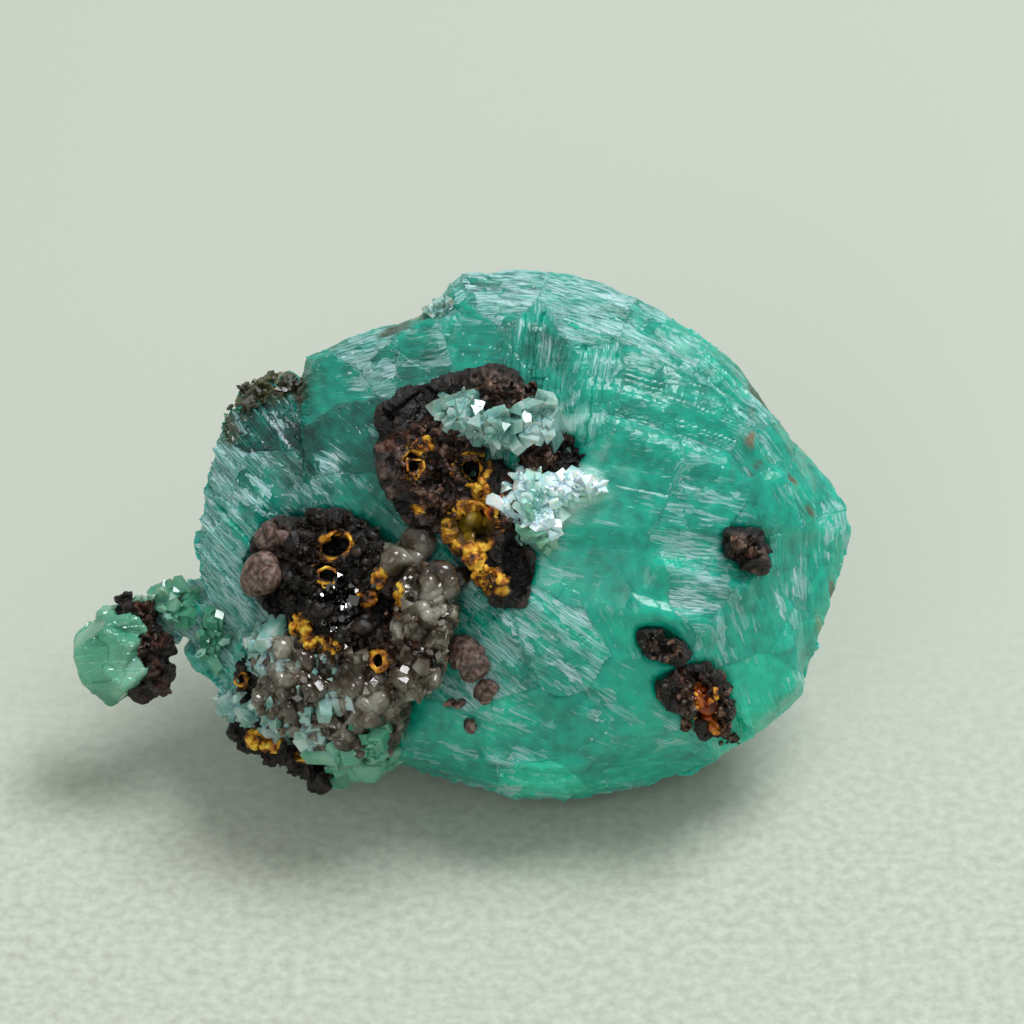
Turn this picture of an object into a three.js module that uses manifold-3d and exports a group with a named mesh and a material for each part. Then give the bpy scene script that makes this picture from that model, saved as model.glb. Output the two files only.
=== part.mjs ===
// A rough cuproadamite specimen, in millimetres, +Z up: a copper-green mass of stepped crystals,
// with nests of limonite, ochre tubes, pale later crystals and a grey crust grown into its face.
//
// Every piece is shaped in the frame of the specimen's display face: x to the right, y up the face
// and z out of it, with the zero in the middle of the face. The whole group is then tipped up by
// FACE_LEAN, so that the mass stands on the flat spot under its lower edge.
import * as THREE from "three";
import { mergeVertices } from "three/addons/utils/BufferGeometryUtils.js";
import Module from "manifold-3d";

const wasm = await Module();
wasm.setup();

// Driving dimensions
const FACE_LEAN = 50; // degrees that the display face is tipped up from lying flat and looking up
const GAP = 0.2; // clearance between two minerals where they touch
const SEAT_DEPTH = 0.6; // how much of the underside the flat spot takes off
const RIM_TAPER = 2.9; // a higher power gives a flatter face with a steeper rim
const RIM_ROUND = 0.58;
const LEDGE_RELIEF = 0.22; // how far ledges may stand above a cleavage face
const NEST_FLATNESS = 0.6; // height of a nest's lumps as a share of their radius
const TUBE_WALL = 0.2; // wall of an ochre tube
const TUBE_DEPTH = 0.6; // how deep a tube stands in its nest
const TUBE_SIDES = 10;
const OPEN_ABOVE = 6; // how far in front of the face a cutter reaches

// The lobes of the green mass. Each outline runs clockwise as seen from the front. The foot is a
// lobe behind the lower half, and its underside carries the weight.
const LOBES = {
  main: {
    centre: [2.3, 0.2],
    level: 0,
    front: 5.0,
    back: 6.4,
    segments: 32,
    rings: 10,
    outline: [
      [-6.9, 5.9], [-6.6, 6.6], [-5.3, 7.1], [-2.8, 7.7], [-2.1, 8.8], [-1.5, 9.3], [1.6, 9.5],
      [3.5, 9.0], [5.3, 8.2], [7.0, 7.1], [8.6, 5.8], [10.0, 3.8], [11.0, 2.3], [11.2, 0.0],
      [11.0, -2.1], [10.6, -6.2], [9.5, -6.8], [8.3, -7.3], [7.0, -8.3], [4.9, -8.7], [1.6, -9.3],
      [-0.4, -8.9], [-3.7, -7.9], [-6.2, -7.6], [-8.6, -6.3], [-9.4, -3.8], [-8.6, -0.7], [-7.4, 2.5],
    ],
  },
  left: {
    centre: [-8.4, 0.7],
    level: -1.6,
    front: 3.4,
    back: 3.0,
    segments: 18,
    rings: 8,
    outline: [
      [-11.2, 0.0], [-10.9, 2.4], [-10.0, 3.9], [-9.8, 5.1], [-9.4, 5.7], [-8.6, 6.1], [-6.8, 6.1],
      [-6.0, 4.2], [-5.6, 0.7], [-6.3, -2.8], [-8.8, -4.9], [-10.6, -3.9], [-11.1, -2.1],
    ],
  },
  right: {
    centre: [10.0, -0.7],
    level: -1.7,
    front: 3.0,
    back: 3.2,
    segments: 18,
    rings: 8,
    outline: [
      [8.5, 4.9], [10.0, 3.8], [11.1, 2.7], [12.0, 1.7], [12.5, 0.6], [12.3, -1.1], [11.7, -3.5],
      [10.9, -5.6], [9.5, -6.2], [8.5, -3.5], [8.1, 0.0], [8.1, 2.8],
    ],
  },
  foot: {
    centre: [2.4, -3.8],
    level: -3.4,
    front: 2.0,
    back: 4.1,
    segments: 16,
    rings: 6,
    outline: [
      [-5.0, -2.4], [-3.4, 0.0], [0.4, 1.0], [5.0, 0.8], [8.2, -0.8], [9.0, -3.4], [7.6, -6.2], [3.6, -7.4],
      [-1.2, -7.0], [-4.2, -5.0],
    ],
  },
};

// Steps of the green crystals: where a field of ledges lies on the face, which way they run, how far
// the field reaches along and across them, and the length, width and height of one ledge.
const STEP_FIELDS = [
  { at: [1.8, 7.9], along: -5, reach: [3.4, 0.8], lines: 2, each: 2, size: [3.6, 1.4, 0.26] },
  { at: [6.8, 5.6], along: -42, reach: [2.6, 0.8], lines: 2, each: 2, size: [3.4, 1.4, 0.26] },
  { at: [-4.6, 6.1], along: 20, reach: [1.6, 0.4], lines: 1, each: 2, size: [2.6, 1.1, 0.24] },
  { at: [-8.8, 2.9], along: -52, reach: [0.9, 1.2], lines: 3, each: 1, size: [2.8, 1.2, 0.3] },
  { at: [-9.0, -0.4], along: -48, reach: [1.2, 1.2], lines: 3, each: 1, size: [3.0, 1.2, 0.3] },
  { at: [-5.2, 3.2], along: -28, reach: [1.0, 1.4], lines: 2, each: 1, size: [2.6, 1.2, 0.22] },
  { at: [5.4, 4.2], along: -16, reach: [3.0, 2.0], lines: 3, each: 2, size: [4.2, 1.6, 0.24] },
  { at: [1.6, -4.0], along: -38, reach: [2.0, 1.6], lines: 3, each: 2, size: [2.4, 1.3, 0.34] },
  { at: [10.0, 1.4], along: -54, reach: [1.2, 0.6], lines: 2, each: 1, size: [2.4, 1.1, 0.24] },
  { at: [6.0, -2.4], along: -10, reach: [2.6, 1.4], lines: 2, each: 1, size: [4.2, 1.8, 0.26] },
  { at: [1.2, -8.0], along: -3, reach: [2.0, 0.3], lines: 1, each: 2, size: [2.6, 1.4, 0.4] },
  { at: [2.5, 6.0], along: -12, reach: [4.6, 1.2], lines: 2, each: 2, size: [5.0, 2.4, 0.4], behind: true },
];

// Flat cleavage faces that knock the roundness off the domes: a point on each and the way it faces.
const CLEAVAGES = [
  { at: [-3.6, 4.6, 4.0], facing: [-0.3, 0.28, 1] },
  { at: [6.6, 3.0, 4.15], facing: [0.36, 0.3, 1] },
  { at: [3.4, -4.6, 4.2], facing: [0.02, -0.32, 1] },
  { at: [8.6, -3.6, 3.1], facing: [0.6, -0.35, 1] },
  { at: [2.2, 8.2, 1.9], facing: [0.05, 1, 0.8] },
  { at: [-9.0, 3.4, 1.1], facing: [-0.3, 0.3, 1] },
  { at: [-9.4, -1.4, 1.2], facing: [-0.4, -0.24, 1] },
  { at: [-3.4, 3.4, -5.0], facing: [-0.6, 0.35, -1] },
  { at: [2.0, 3.0, -5.9], facing: [0.1, 0.3, -1] },
  { at: [7.4, 2.2, -4.8], facing: [0.8, 0.3, -1] },
  { at: [2.6, 7.2, -3.2], facing: [0.05, 1, -0.6] },
  { at: [-3.8, -4.6, -4.4], facing: [-0.9, -0.5, -1] },
  { at: [8.6, -3.8, -3.6], facing: [1, -0.4, -0.8] },
  { at: [5.0, -7.8, 1.6], facing: [0.3, -1, 0.6] },
  { at: [-10.4, 1.4, -2.8], facing: [-1, 0.2, -0.5] },
  { at: [-1.6, -3.8, -6.6], facing: [-0.7, 0.1, -1] },
  { at: [7.2, -3.6, -6.2], facing: [0.9, 0.2, -1] },
  { at: [0.4, -1.0, -6.9], facing: [-0.25, 0.5, -1] },
];

// Green blocks that carry the mass out to the small fan at the left: centre, size and turn in degrees.
const BRIDGE_BLOCKS = [
  [[-10.4, -2.6, -0.8], [3.0, 2.6, 2.4], [12, 18, -30]],
  [[-11.4, -2.4, -0.8], [2.4, 2.0, 2.0], [-16, 10, 24]],
  [[-10.2, -3.9, -0.6], [2.4, 2.2, 1.8], [20, -14, 36]],
  [[-12.0, -3.0, -0.7], [1.8, 2.2, 1.8], [8, 24, 12]],
  [[-9.2, -4.6, 0.0], [2.4, 2.0, 1.8], [-10, 12, -18]],
];

// A small generator of repeatable numbers from 0 to 1.
function repeatable(seed) {
  let state = seed;
  return () => {
    state = (state + 0x6d2b79f5) | 0;
    let mixed = Math.imul(state ^ (state >>> 15), 1 | state);
    mixed = (mixed + Math.imul(mixed ^ (mixed >>> 7), 61 | mixed)) ^ mixed;
    return ((mixed ^ (mixed >>> 14)) >>> 0) / 4294967296;
  };
}

// Turns a three.js geometry into a solid that can be joined and cut.
function solidOf(geometry) {
  const bare = geometry.clone();
  bare.deleteAttribute("normal");
  bare.deleteAttribute("uv");
  const merged = mergeVertices(bare, 1e-4);
  return new wasm.Manifold(
    new wasm.Mesh({
      numProp: 3,
      vertProperties: merged.attributes.position.array,
      triVerts: new Uint32Array(merged.index.array),
    }),
  );
}

function geometryOf(solid) {
  const mesh = solid.getMesh();
  const geometry = new THREE.BufferGeometry();
  geometry.setAttribute("position", new THREE.BufferAttribute(mesh.vertProperties, 3));
  geometry.setIndex(new THREE.BufferAttribute(mesh.triVerts, 1));
  const flat = geometry.toNonIndexed();
  flat.computeVertexNormals();
  return flat;
}

function join(solids) {
  return solids.reduce((sum, solid) => sum.add(solid));
}

// A cut can leave loose crumbs, and only the largest body is the piece.
function largestBody(solid) {
  return solid.decompose().sort((a, b) => b.volume() - a.volume())[0];
}

function cutBy(solid, cutters) {
  return largestBody(cutters.reduce((left, cutter) => left.subtract(cutter), solid));
}

// How far a lobe's outline lies from its centre in a direction.
function outlineReach(lobe) {
  const [cx, cy] = lobe.centre;
  const points = lobe.outline.map(([x, y]) => new THREE.Vector3(x, y, 0));
  const curve = new THREE.CatmullRomCurve3(points, true, "centripetal");
  const samples = curve
    .getPoints(points.length * 8)
    .map((p) => [Math.atan2(p.y - cy, p.x - cx), Math.hypot(p.x - cx, p.y - cy)])
    .sort((a, b) => a[0] - b[0]);
  return (angle) => {
    const next = samples.findIndex((s) => s[0] >= angle);
    const high = samples[next < 0 ? 0 : next];
    const low = samples[(next <= 0 ? samples.length : next) - 1];
    const full = 2 * Math.PI;
    const span = (high[0] - low[0] + full) % full;
    const share = span > 0 ? ((angle - low[0] + full) % full) / span : 0;
    return low[1] + (high[1] - low[1]) * share;
  };
}

for (const lobe of Object.values(LOBES)) lobe.reach = outlineReach(lobe);

// Height of a lobe's dome at a share of the way from its centre to its outline.
function domeHeight(depth, share) {
  return depth * (1 - Math.min(1, share) ** RIM_TAPER) ** RIM_ROUND;
}

// The dome of one lobe: a sphere whose rings are drawn out to the outline and whose poles are pressed in.
function lobeSolid(lobe) {
  const sphere = new THREE.SphereGeometry(1, lobe.segments, lobe.rings);
  sphere.rotateX(Math.PI / 2);
  const places = sphere.attributes.position;
  for (let i = 0; i < places.count; i++) {
    const [x, y, z] = [places.getX(i), places.getY(i), places.getZ(i)];
    const share = Math.min(1, Math.hypot(x, y));
    const reach = share * (share > 1e-6 ? lobe.reach(Math.atan2(y, x)) : 0);
    const depth = z > 0 ? lobe.front : -lobe.back;
    places.setXYZ(
      i,
      lobe.centre[0] + (share > 1e-6 ? (x / share) * reach : 0),
      lobe.centre[1] + (share > 1e-6 ? (y / share) * reach : 0),
      lobe.level + (Math.abs(z) < 1e-6 ? 0 : domeHeight(depth, share)),
    );
  }
  return solidOf(sphere);
}

// Height of the green mass over a point of the face, on its front or on its back.
function massHeight(x, y, behind = false) {
  const heights = Object.values(LOBES).map((lobe) => {
    const [dx, dy] = [x - lobe.centre[0], y - lobe.centre[1]];
    const share = Math.min(0.985, Math.hypot(dx, dy) / lobe.reach(Math.atan2(dy, dx)));
    return lobe.level + domeHeight(behind ? -lobe.back : lobe.front, share);
  });
  return behind ? Math.min(...heights) : Math.max(...heights);
}

// The frame on the surface of the mass at (x, y): its point, its normal and a direction along it.
function surfaceFrame(x, y, along, behind) {
  const step = 0.25;
  const height = massHeight(x, y, behind);
  const slopeX = (massHeight(x + step, y, behind) - massHeight(x - step, y, behind)) / (2 * step);
  const slopeY = (massHeight(x, y + step, behind) - massHeight(x, y - step, behind)) / (2 * step);
  const normal = new THREE.Vector3(-slopeX, -slopeY, 1).normalize();
  if (behind) normal.negate();
  const angle = THREE.MathUtils.degToRad(along);
  const heading = new THREE.Vector3(Math.cos(angle), Math.sin(angle), 0);
  const length = heading.sub(normal.clone().multiplyScalar(heading.dot(normal))).normalize();
  const across = new THREE.Vector3().crossVectors(normal, length);
  return { point: new THREE.Vector3(x, y, height), matrix: new THREE.Matrix4().makeBasis(length, across, normal) };
}

// One ledge: a three-sided bar with one long slope and one steep edge, narrower towards one end.
function ledgeSolid(frame, [length, width, height]) {
  const root = -0.9 * height; // the underside lies this far below the surface
  const section = new THREE.Shape([
    new THREE.Vector2(-width / 2, root),
    new THREE.Vector2(width / 2, root),
    new THREE.Vector2(width / 3, height),
  ]);
  const bar = new THREE.ExtrudeGeometry(section, { depth: length, bevelEnabled: false });
  bar.translate(0, 0, -length / 2);
  const places = bar.attributes.position;
  for (let i = 0; i < places.count; i++) {
    const narrow = places.getZ(i) > 0 ? 0.55 : 1;
    const slope = places.getY(i) > 0 && places.getZ(i) > 0 ? -height : 0;
    places.setXYZ(i, places.getX(i) * narrow, places.getY(i), places.getZ(i) + slope);
  }
  // The section's x runs across, its y out of the surface and its depth along the ledge.
  const turn = new THREE.Matrix4().makeBasis(
    new THREE.Vector3(0, 1, 0),
    new THREE.Vector3(0, 0, 1),
    new THREE.Vector3(1, 0, 0),
  );
  bar.applyMatrix4(turn);
  bar.applyMatrix4(frame.matrix);
  bar.translate(frame.point.x, frame.point.y, frame.point.z);
  return solidOf(bar);
}

function stepLedges(field, random) {
  const angle = THREE.MathUtils.degToRad(field.along);
  const ledges = [];
  for (let line = 0; line < field.lines; line++) {
    for (let place = 0; place < field.each; place++) {
      const run = ((place + 0.5 + (random() - 0.5) * 0.8) / field.each) * 2 - 1;
      const rise = ((line + 0.5 + (random() - 0.5) * 0.5) / field.lines) * 2 - 1;
      const [alongBy, acrossBy] = [run * field.reach[0], rise * field.reach[1]];
      const x = field.at[0] + alongBy * Math.cos(angle) - acrossBy * Math.sin(angle);
      const y = field.at[1] + alongBy * Math.sin(angle) + acrossBy * Math.cos(angle);
      const frame = surfaceFrame(x, y, field.along + (random() - 0.5) * 10, field.behind);
      ledges.push(ledgeSolid(frame, field.size.map((s) => s * (0.8 + 0.4 * random()))));
    }
  }
  return ledges;
}

// Everything inside the outline of the lobes, so that no ledge stands out beyond it.
function insideOutline() {
  const height = 30;
  return join(
    Object.values(LOBES).map((lobe) => {
      const shape = new THREE.Shape(lobe.outline.map(([x, y]) => new THREE.Vector2(x, y)));
      const prism = new THREE.ExtrudeGeometry(shape, { depth: height, bevelEnabled: false });
      prism.translate(0, 0, -height / 2);
      return solidOf(prism);
    }),
  );
}

// A large block whose one face is the plane through a point, used to cut everything beyond it.
function beyondPlane(at, facing) {
  const side = 40;
  const block = new THREE.BoxGeometry(side, side, side);
  block.translate(0, 0, side / 2);
  const turn = new THREE.Quaternion().setFromUnitVectors(
    new THREE.Vector3(0, 0, 1),
    new THREE.Vector3(...facing).normalize(),
  );
  block.applyQuaternion(turn);
  block.translate(...at);
  return solidOf(block);
}

// A turned block with its corners pulled in unevenly, as a small crystal has.
function crystalSolid([at, size, turn], grow = 0) {
  const [width, depth, height] = size.map((s) => s + 2 * grow);
  const block = new THREE.CylinderGeometry(0.34, 0.5, 1, 5);
  block.scale(width, height, depth);
  block.rotateX(Math.PI / 2);
  const [tx, ty, tz] = turn.map(THREE.MathUtils.degToRad);
  block.applyMatrix4(new THREE.Matrix4().makeRotationFromEuler(new THREE.Euler(tx, ty, tz)));
  block.translate(...at);
  return solidOf(block);
}

// A lump: a faceted ball, pressed flat against the face and knocked uneven.
function lumpSolid([x, y, radius, rise = 0, z], seed, { flatness = 0.6, grow = 0, behind = false }) {
  const random = repeatable(seed);
  const ball = new THREE.IcosahedronGeometry(1, 0);
  ball.deleteAttribute("normal");
  ball.deleteAttribute("uv");
  const merged = mergeVertices(ball, 1e-3);
  const places = merged.attributes.position;
  for (let i = 0; i < places.count; i++) {
    const uneven = radius * (0.86 + 0.28 * random()) + grow;
    const thin = (uneven - grow) * flatness + grow;
    places.setXYZ(i, places.getX(i) * uneven, places.getY(i) * uneven, places.getZ(i) * thin);
  }
  merged.translate(x, y, z ?? massHeight(x, y, behind) + rise);
  return solidOf(merged);
}

// Lumps that overlap are one solid. grow makes the same solid larger, to cut its pocket.
function lumpCluster(lumps, seed, options = {}) {
  return join(lumps.map((lump, i) => lumpSolid(lump, seed + i * 17, options)));
}

function crystalCluster(crystals, grow = 0) {
  return join(crystals.map((crystal) => crystalSolid(crystal, grow)));
}

// The rim of a limonite tube: a short pipe that stands in the nest.
function tubeRim([x, y, radius, rise]) {
  const [inner, outer] = [radius - TUBE_WALL / 2, radius + TUBE_WALL / 2];
  const section = [
    new THREE.Vector2(inner, -TUBE_DEPTH),
    new THREE.Vector2(outer, -TUBE_DEPTH),
    new THREE.Vector2(outer, 0),
    new THREE.Vector2(inner, 0),
    new THREE.Vector2(inner, -TUBE_DEPTH),
  ];
  const pipe = new THREE.LatheGeometry(section, TUBE_SIDES);
  pipe.rotateX(Math.PI / 2);
  pipe.translate(x, y, massHeight(x, y) + rise);
  return solidOf(pipe);
}

// The round hole that a tube stands in, open to the front.
function tubeSocket([x, y, radius, rise]) {
  const [wide, deep] = [radius + TUBE_WALL / 2 + GAP, TUBE_DEPTH + GAP];
  const hole = new THREE.CylinderGeometry(wide, wide, deep + OPEN_ABOVE, TUBE_SIDES);
  hole.rotateX(Math.PI / 2);
  hole.translate(x, y, massHeight(x, y) + rise + (OPEN_ABOVE - deep) / 2);
  return solidOf(hole);
}

// Moves each corner of an outline outwards, square to its two edges.
function outset(outline, distance) {
  const points = outline.map(([x, y]) => new THREE.Vector2(x, y));
  const side = THREE.ShapeUtils.isClockWise(points) ? -1 : 1;
  return points.map((point, i) => {
    const before = points[(i + points.length - 1) % points.length];
    const after = points[(i + 1) % points.length];
    const heading = after.clone().sub(before).normalize();
    return new THREE.Vector2(point.x + side * heading.y * distance, point.y - side * heading.x * distance);
  });
}

// The well that a nest fills: its outline, sunk below the green surface and open to the outside.
function wellSolid({ outline, depth, behind = false }, grow = 0) {
  const shape = new THREE.Shape(outset(outline, grow));
  const well = new THREE.ExtrudeGeometry(shape, { depth: 1, bevelEnabled: false });
  const [low, high] = behind ? [-OPEN_ABOVE, depth + grow] : [-depth - grow, OPEN_ABOVE];
  const places = well.attributes.position;
  for (let i = 0; i < places.count; i++) {
    const height = massHeight(places.getX(i), places.getY(i), behind);
    places.setZ(i, height + (places.getZ(i) > 0.5 ? high : low));
  }
  return solidOf(well);
}

// Nests sunk in the green mass. Each has its outline, the depth of its well and the lumps that fill
// it: x, y, radius and rise above the green surface.
const UPPER_NEST = {
  depth: 0.7,
  outline: [
    [-4.3, 3.2], [-4.1, 4.5], [-3.4, 5.1], [-0.4, 6.0], [0.9, 5.7], [1.2, 4.6], [-1.3, 4.8], [-2.1, 3.9],
    [0.1, 2.9], [0.7, 0.4], [1.0, -0.7], [0.8, -2.2], [-0.1, -2.0], [-1.9, 0.2], [-3.4, 0.8],
  ],
  lumps: [
    [-3.3, 4.3, 1.2, -0.3], [-1.9, 5.0, 1.1, -0.2], [-0.3, 5.3, 1.2, -0.2], [-3.3, 2.7, 1.4, -0.3],
    [-1.7, 3.0, 1.2, -0.2], [-2.4, 1.5, 1.4, -0.3], [-0.8, 1.4, 1.6, -0.3], [0.1, -0.6, 1.3, -0.2],
    [0.4, -1.5, 1.0, -0.2],
  ],
};
const LOWER_NEST = {
  depth: 0.8,
  outline: [
    [-8.9, -1.1], [-8.2, 0.4], [-5.7, 1.0], [-4.6, 0.6], [-3.4, -1.0], [-3.4, -3.9], [-4.6, -4.7], [-6.4, -3.9],
    [-7.9, -2.5],
  ],
  lumps: [
    [-7.3, -1.4, 1.5, 0.1], [-7.5, -0.2, 1.2, 0.2], [-5.9, -0.1, 1.5, 0.1], [-4.6, -1.2, 1.6, 0],
    [-6.0, -2.0, 1.6, 0.1], [-6.9, -3.0, 1.2, 0.2], [-5.2, -3.2, 1.4, 0.1], [-4.0, -3.2, 1.2, 0.1],
  ],
};
const GREY_CRUST = {
  depth: 0.6,
  outline: [
    [-8.6, -2.3], [-6.0, -2.0], [-4.2, -0.7], [-2.0, -1.2], [-1.4, -2.1], [-1.9, -3.2], [-2.2, -4.9],
    [-3.3, -5.9], [-4.0, -7.6], [-5.5, -7.7], [-7.4, -7.0], [-8.5, -5.2],
  ],
  lumps: [
    [-7.5, -3.9, 1.4, 0.2], [-6.0, -4.8, 1.5, 0.1], [-4.4, -5.1, 1.4, 0.1], [-3.0, -4.2, 1.3, 0.1],
    [-2.5, -2.8, 1.2, 0.1], [-2.6, -1.7, 1.1, 0.1], [-7.3, -5.4, 1.3, 0.4], [-5.8, -6.3, 1.4, 0.4],
    [-4.2, -6.4, 1.3, 0.3],
  ],
};
const SIDE_POD = {
  depth: 0.5,
  outline: [[0.7, 3.5], [1.6, 3.6], [2.6, 3.5], [2.9, 2.6], [1.2, 2.2]],
  lumps: [[1.2, 2.9, 0.8, -0.1], [2.2, 3.0, 0.85, -0.1]],
};
const RIGHT_POD = {
  depth: 0.5,
  outline: [[7.9, 0.3], [8.8, 0.4], [9.3, -0.2], [9.0, -1.0], [8.0, -0.4]],
  lumps: [[8.3, -0.1, 0.6, 0], [8.8, -0.4, 0.6, 0]],
};
const SMALL_POD = {
  depth: 0.5,
  outline: [[4.8, -3.1], [5.6, -3.2], [6.3, -3.7], [6.6, -4.3], [5.1, -3.9]],
  lumps: [[5.3, -3.5, 0.6, 0], [5.9, -3.9, 0.65, 0]],
};
const BRANCH = {
  depth: 0.55,
  outline: [
    [5.4, -4.9], [6.5, -4.6], [7.2, -4.4], [7.8, -4.9], [7.9, -6.0], [8.8, -6.9], [7.5, -7.3], [6.7, -6.0],
    [5.9, -5.6],
  ],
  lumps: [[5.9, -5.2, 0.7, 0], [7.0, -5.1, 1.0, 0], [7.3, -6.0, 1.0, 0], [7.8, -6.8, 0.9, 0.1]],
};
const BACK_NEST = {
  depth: 0.9,
  behind: true,
  outline: [[-4.4, 1.6], [-2.6, 3.2], [0.4, 3.0], [3.0, 4.6], [5.4, 3.8], [4.2, 2.0], [1.0, 1.4], [-2.2, 0.4]],
  lumps: [[-2.8, 1.8, 1.7, 0], [-0.6, 2.0, 1.6, 0], [1.8, 2.6, 1.7, 0], [3.9, 3.4, 1.5, 0]],
};

// Pieces at the edge of the mass, with lumps that carry a z of their own.
const FAN_MATRIX = [
  [-12.8, -2.7, 0.8, 0, 0.1], [-12.5, -3.9, 0.9, 0, 0.1], [-12.3, -4.9, 0.7, 0, 0.0], [-13.2, -2.2, 0.5, 0, 0.0],
];
const RIM_LIMONITE = [
  [-8.8, -6.8, 0.75, 0, 0.4], [-7.9, -7.2, 0.85, 0, 0.5], [-7.0, -7.8, 0.75, 0, 0.4], [-6.4, -8.2, 0.6, 0, 0.3],
];
const TUBE_POST = [[-8.9, -4.8, 0.5, 0, 1.9], [-8.8, -5.5, 0.5, 0, 1.7], [-8.5, -4.2, 0.4, 0, 2.0]];
const BEADS = [
  [[-1.1, -3.9, 0.5, 0.05], [-1.4, -4.5, 0.5, 0.05]],
  [[-1.5, -5.6, 0.4, 0.05], [-0.9, -5.3, 0.45, 0.05], [-0.5, -5.7, 0.4, 0.05]],
  [[-0.9, -6.5, 0.4, 0.05]],
];

// Ochre, each with the rims of its tubes and the crumbs around them.
const OCHRE = {
  ochre_upper_tube: {
    rims: [[-1.0, 2.4, 0.42, 0.5]],
    crumbs: [[-0.7, 1.8, 0.28, 0.5], [-0.7, 1.3, 0.26, 0.5], [-0.5, 2.1, 0.22, 0.5]],
  },
  ochre_left_tube: {
    rims: [[-2.8, 2.6, 0.28, 0.55]],
    crumbs: [[-2.8, 3.1, 0.24, 0.5], [-2.4, 3.3, 0.24, 0.5]],
  },
  ochre_bowl: { rims: [[-0.9, 0.5, 0.86, 0.5]], crumbs: [[-1.7, 0.1, 0.24, 0.5]] },
  ochre_gut: {
    rims: [],
    crumbs: [[-0.7, -0.8, 0.34, 0.45], [-0.4, -1.2, 0.36, 0.45], [0.0, -1.5, 0.34, 0.45]],
  },
  ochre_lower_tube: { rims: [[-5.8, 0.0, 0.5, 0.65]], crumbs: [[-5.9, -0.9, 0.3, 0.7], [-6.0, -0.6, 0.26, 0.7]] },
  ochre_lower_ring: { rims: [[-4.1, -3.9, 0.36, 0.6]], crumbs: [[-3.6, -3.7, 0.26, 0.6], [-4.6, -4.2, 0.24, 0.6]] },
  ochre_vein: {
    rims: [],
    crumbs: [[-7.2, -3.1, 0.32, 0.85], [-6.8, -3.5, 0.34, 0.85], [-6.3, -3.8, 0.34, 0.85], [-5.8, -3.9, 0.3, 0.85]],
  },
  ochre_core: {
    rims: [],
    crumbs: [[6.8, -5.1, 0.34, 0.3], [7.0, -5.6, 0.36, 0.3], [7.3, -6.1, 0.34, 0.3]],
  },
};
const RIM_OCHRE = [[-8.6, -7.0, 0.32, 0, 1.15], [-8.2, -7.2, 0.34, 0, 1.2], [-7.8, -7.4, 0.3, 0, 1.15]];

// Pale, nearly clear crystals of the second generation: centre, size and turn in degrees.
const PALE_UPPER = [
  [[-1.4, 4.0, 4.7], [1.9, 1.4, 1.5], [12, -10, 20]],
  [[-0.1, 3.9, 4.9], [1.7, 1.1, 1.3], [-18, 14, -12]],
  [[1.0, 4.3, 4.8], [1.8, 0.9, 1.2], [16, 20, 24]],
  [[1.3, 3.8, 4.8], [1.2, 0.9, 1.1], [-10, -16, 40]],
];
const PALE_SIDE = [
  [[1.0, 1.7, 5.0], [1.6, 1.4, 1.2], [14, -18, 10]],
  [[2.0, 1.8, 5.0], [1.6, 1.2, 1.2], [-16, 12, 34]],
  [[3.0, 2.0, 4.9], [1.5, 1.0, 1.1], [18, 8, -20]],
  [[1.3, 0.7, 5.0], [1.3, 1.2, 1.0], [8, 22, -30]],
];
const PALE_LEFT = [
  [[-8.7, -3.6, 1.7], [1.5, 1.1, 1.2], [20, -14, 12]],
  [[-8.2, -4.1, 2.1], [1.2, 1.3, 1.1], [-12, 20, -24]],
  [[-7.6, -4.7, 2.2], [1.1, 1.0, 1.2], [14, 10, 38]],
];
const PALE_CORNER = [
  [[-9.3, -5.8, 0.6], [2.0, 1.6, 1.6], [-14, -18, -24]],
  [[-8.4, -6.2, 0.8], [2.0, 1.6, 1.6], [16, 12, 18]],
  [[-7.5, -6.6, 0.8], [1.6, 1.6, 1.7], [10, -20, 44]],
];
const PALE_BASE = [
  [[-5.6, -7.8, 0.0], [2.2, 1.7, 1.8], [-12, 14, 22]],
  [[-4.6, -7.8, 0.4], [2.2, 1.5, 1.6], [16, -10, 30]],
  [[-3.8, -7.2, 0.9], [1.3, 1.6, 1.5], [-16, 18, -12]],
  [[-3.4, -6.4, 1.5], [1.1, 1.5, 1.3], [10, 12, -28]],
];
const FAN_CRYSTAL = [
  [[-13.8, -3.9, 0.0], [3.5, 2.6, 2.1], [14, -12, 38]],
  [[-13.5, -4.5, 0.0], [2.6, 2.2, 1.8], [-10, 16, 70]],
  [[-13.3, -3.2, 0.0], [2.4, 1.8, 1.6], [12, 8, 12]],
];

const COLOURS = {
  adamite: { color: "#2a9c84", roughness: 0.35, metalness: 0 },
  pale: { color: "#a5d4c4", roughness: 0.25, metalness: 0 },
  limonite: { color: "#2b231f", roughness: 0.6, metalness: 0 },
  crust: { color: "#6f655c", roughness: 0.45, metalness: 0 },
  ochre: { color: "#b8862a", roughness: 0.75, metalness: 0 },
};

const specimen = new THREE.Group();

function addPiece(name, solid, colours) {
  const mesh = new THREE.Mesh(geometryOf(solid), new THREE.MeshStandardMaterial(colours));
  mesh.name = name;
  specimen.add(mesh);
}

// An ochre piece: its tubes and crumbs joined.
function ochreSolid({ rims, crumbs }, seed) {
  return join([...rims.map(tubeRim), lumpCluster(crumbs, seed, { flatness: 0.7 })]);
}

function ochreRoom({ rims, crumbs }, seed) {
  return join([...rims.map(tubeSocket), lumpCluster(crumbs, seed, { flatness: 0.7, grow: GAP })]);
}

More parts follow.
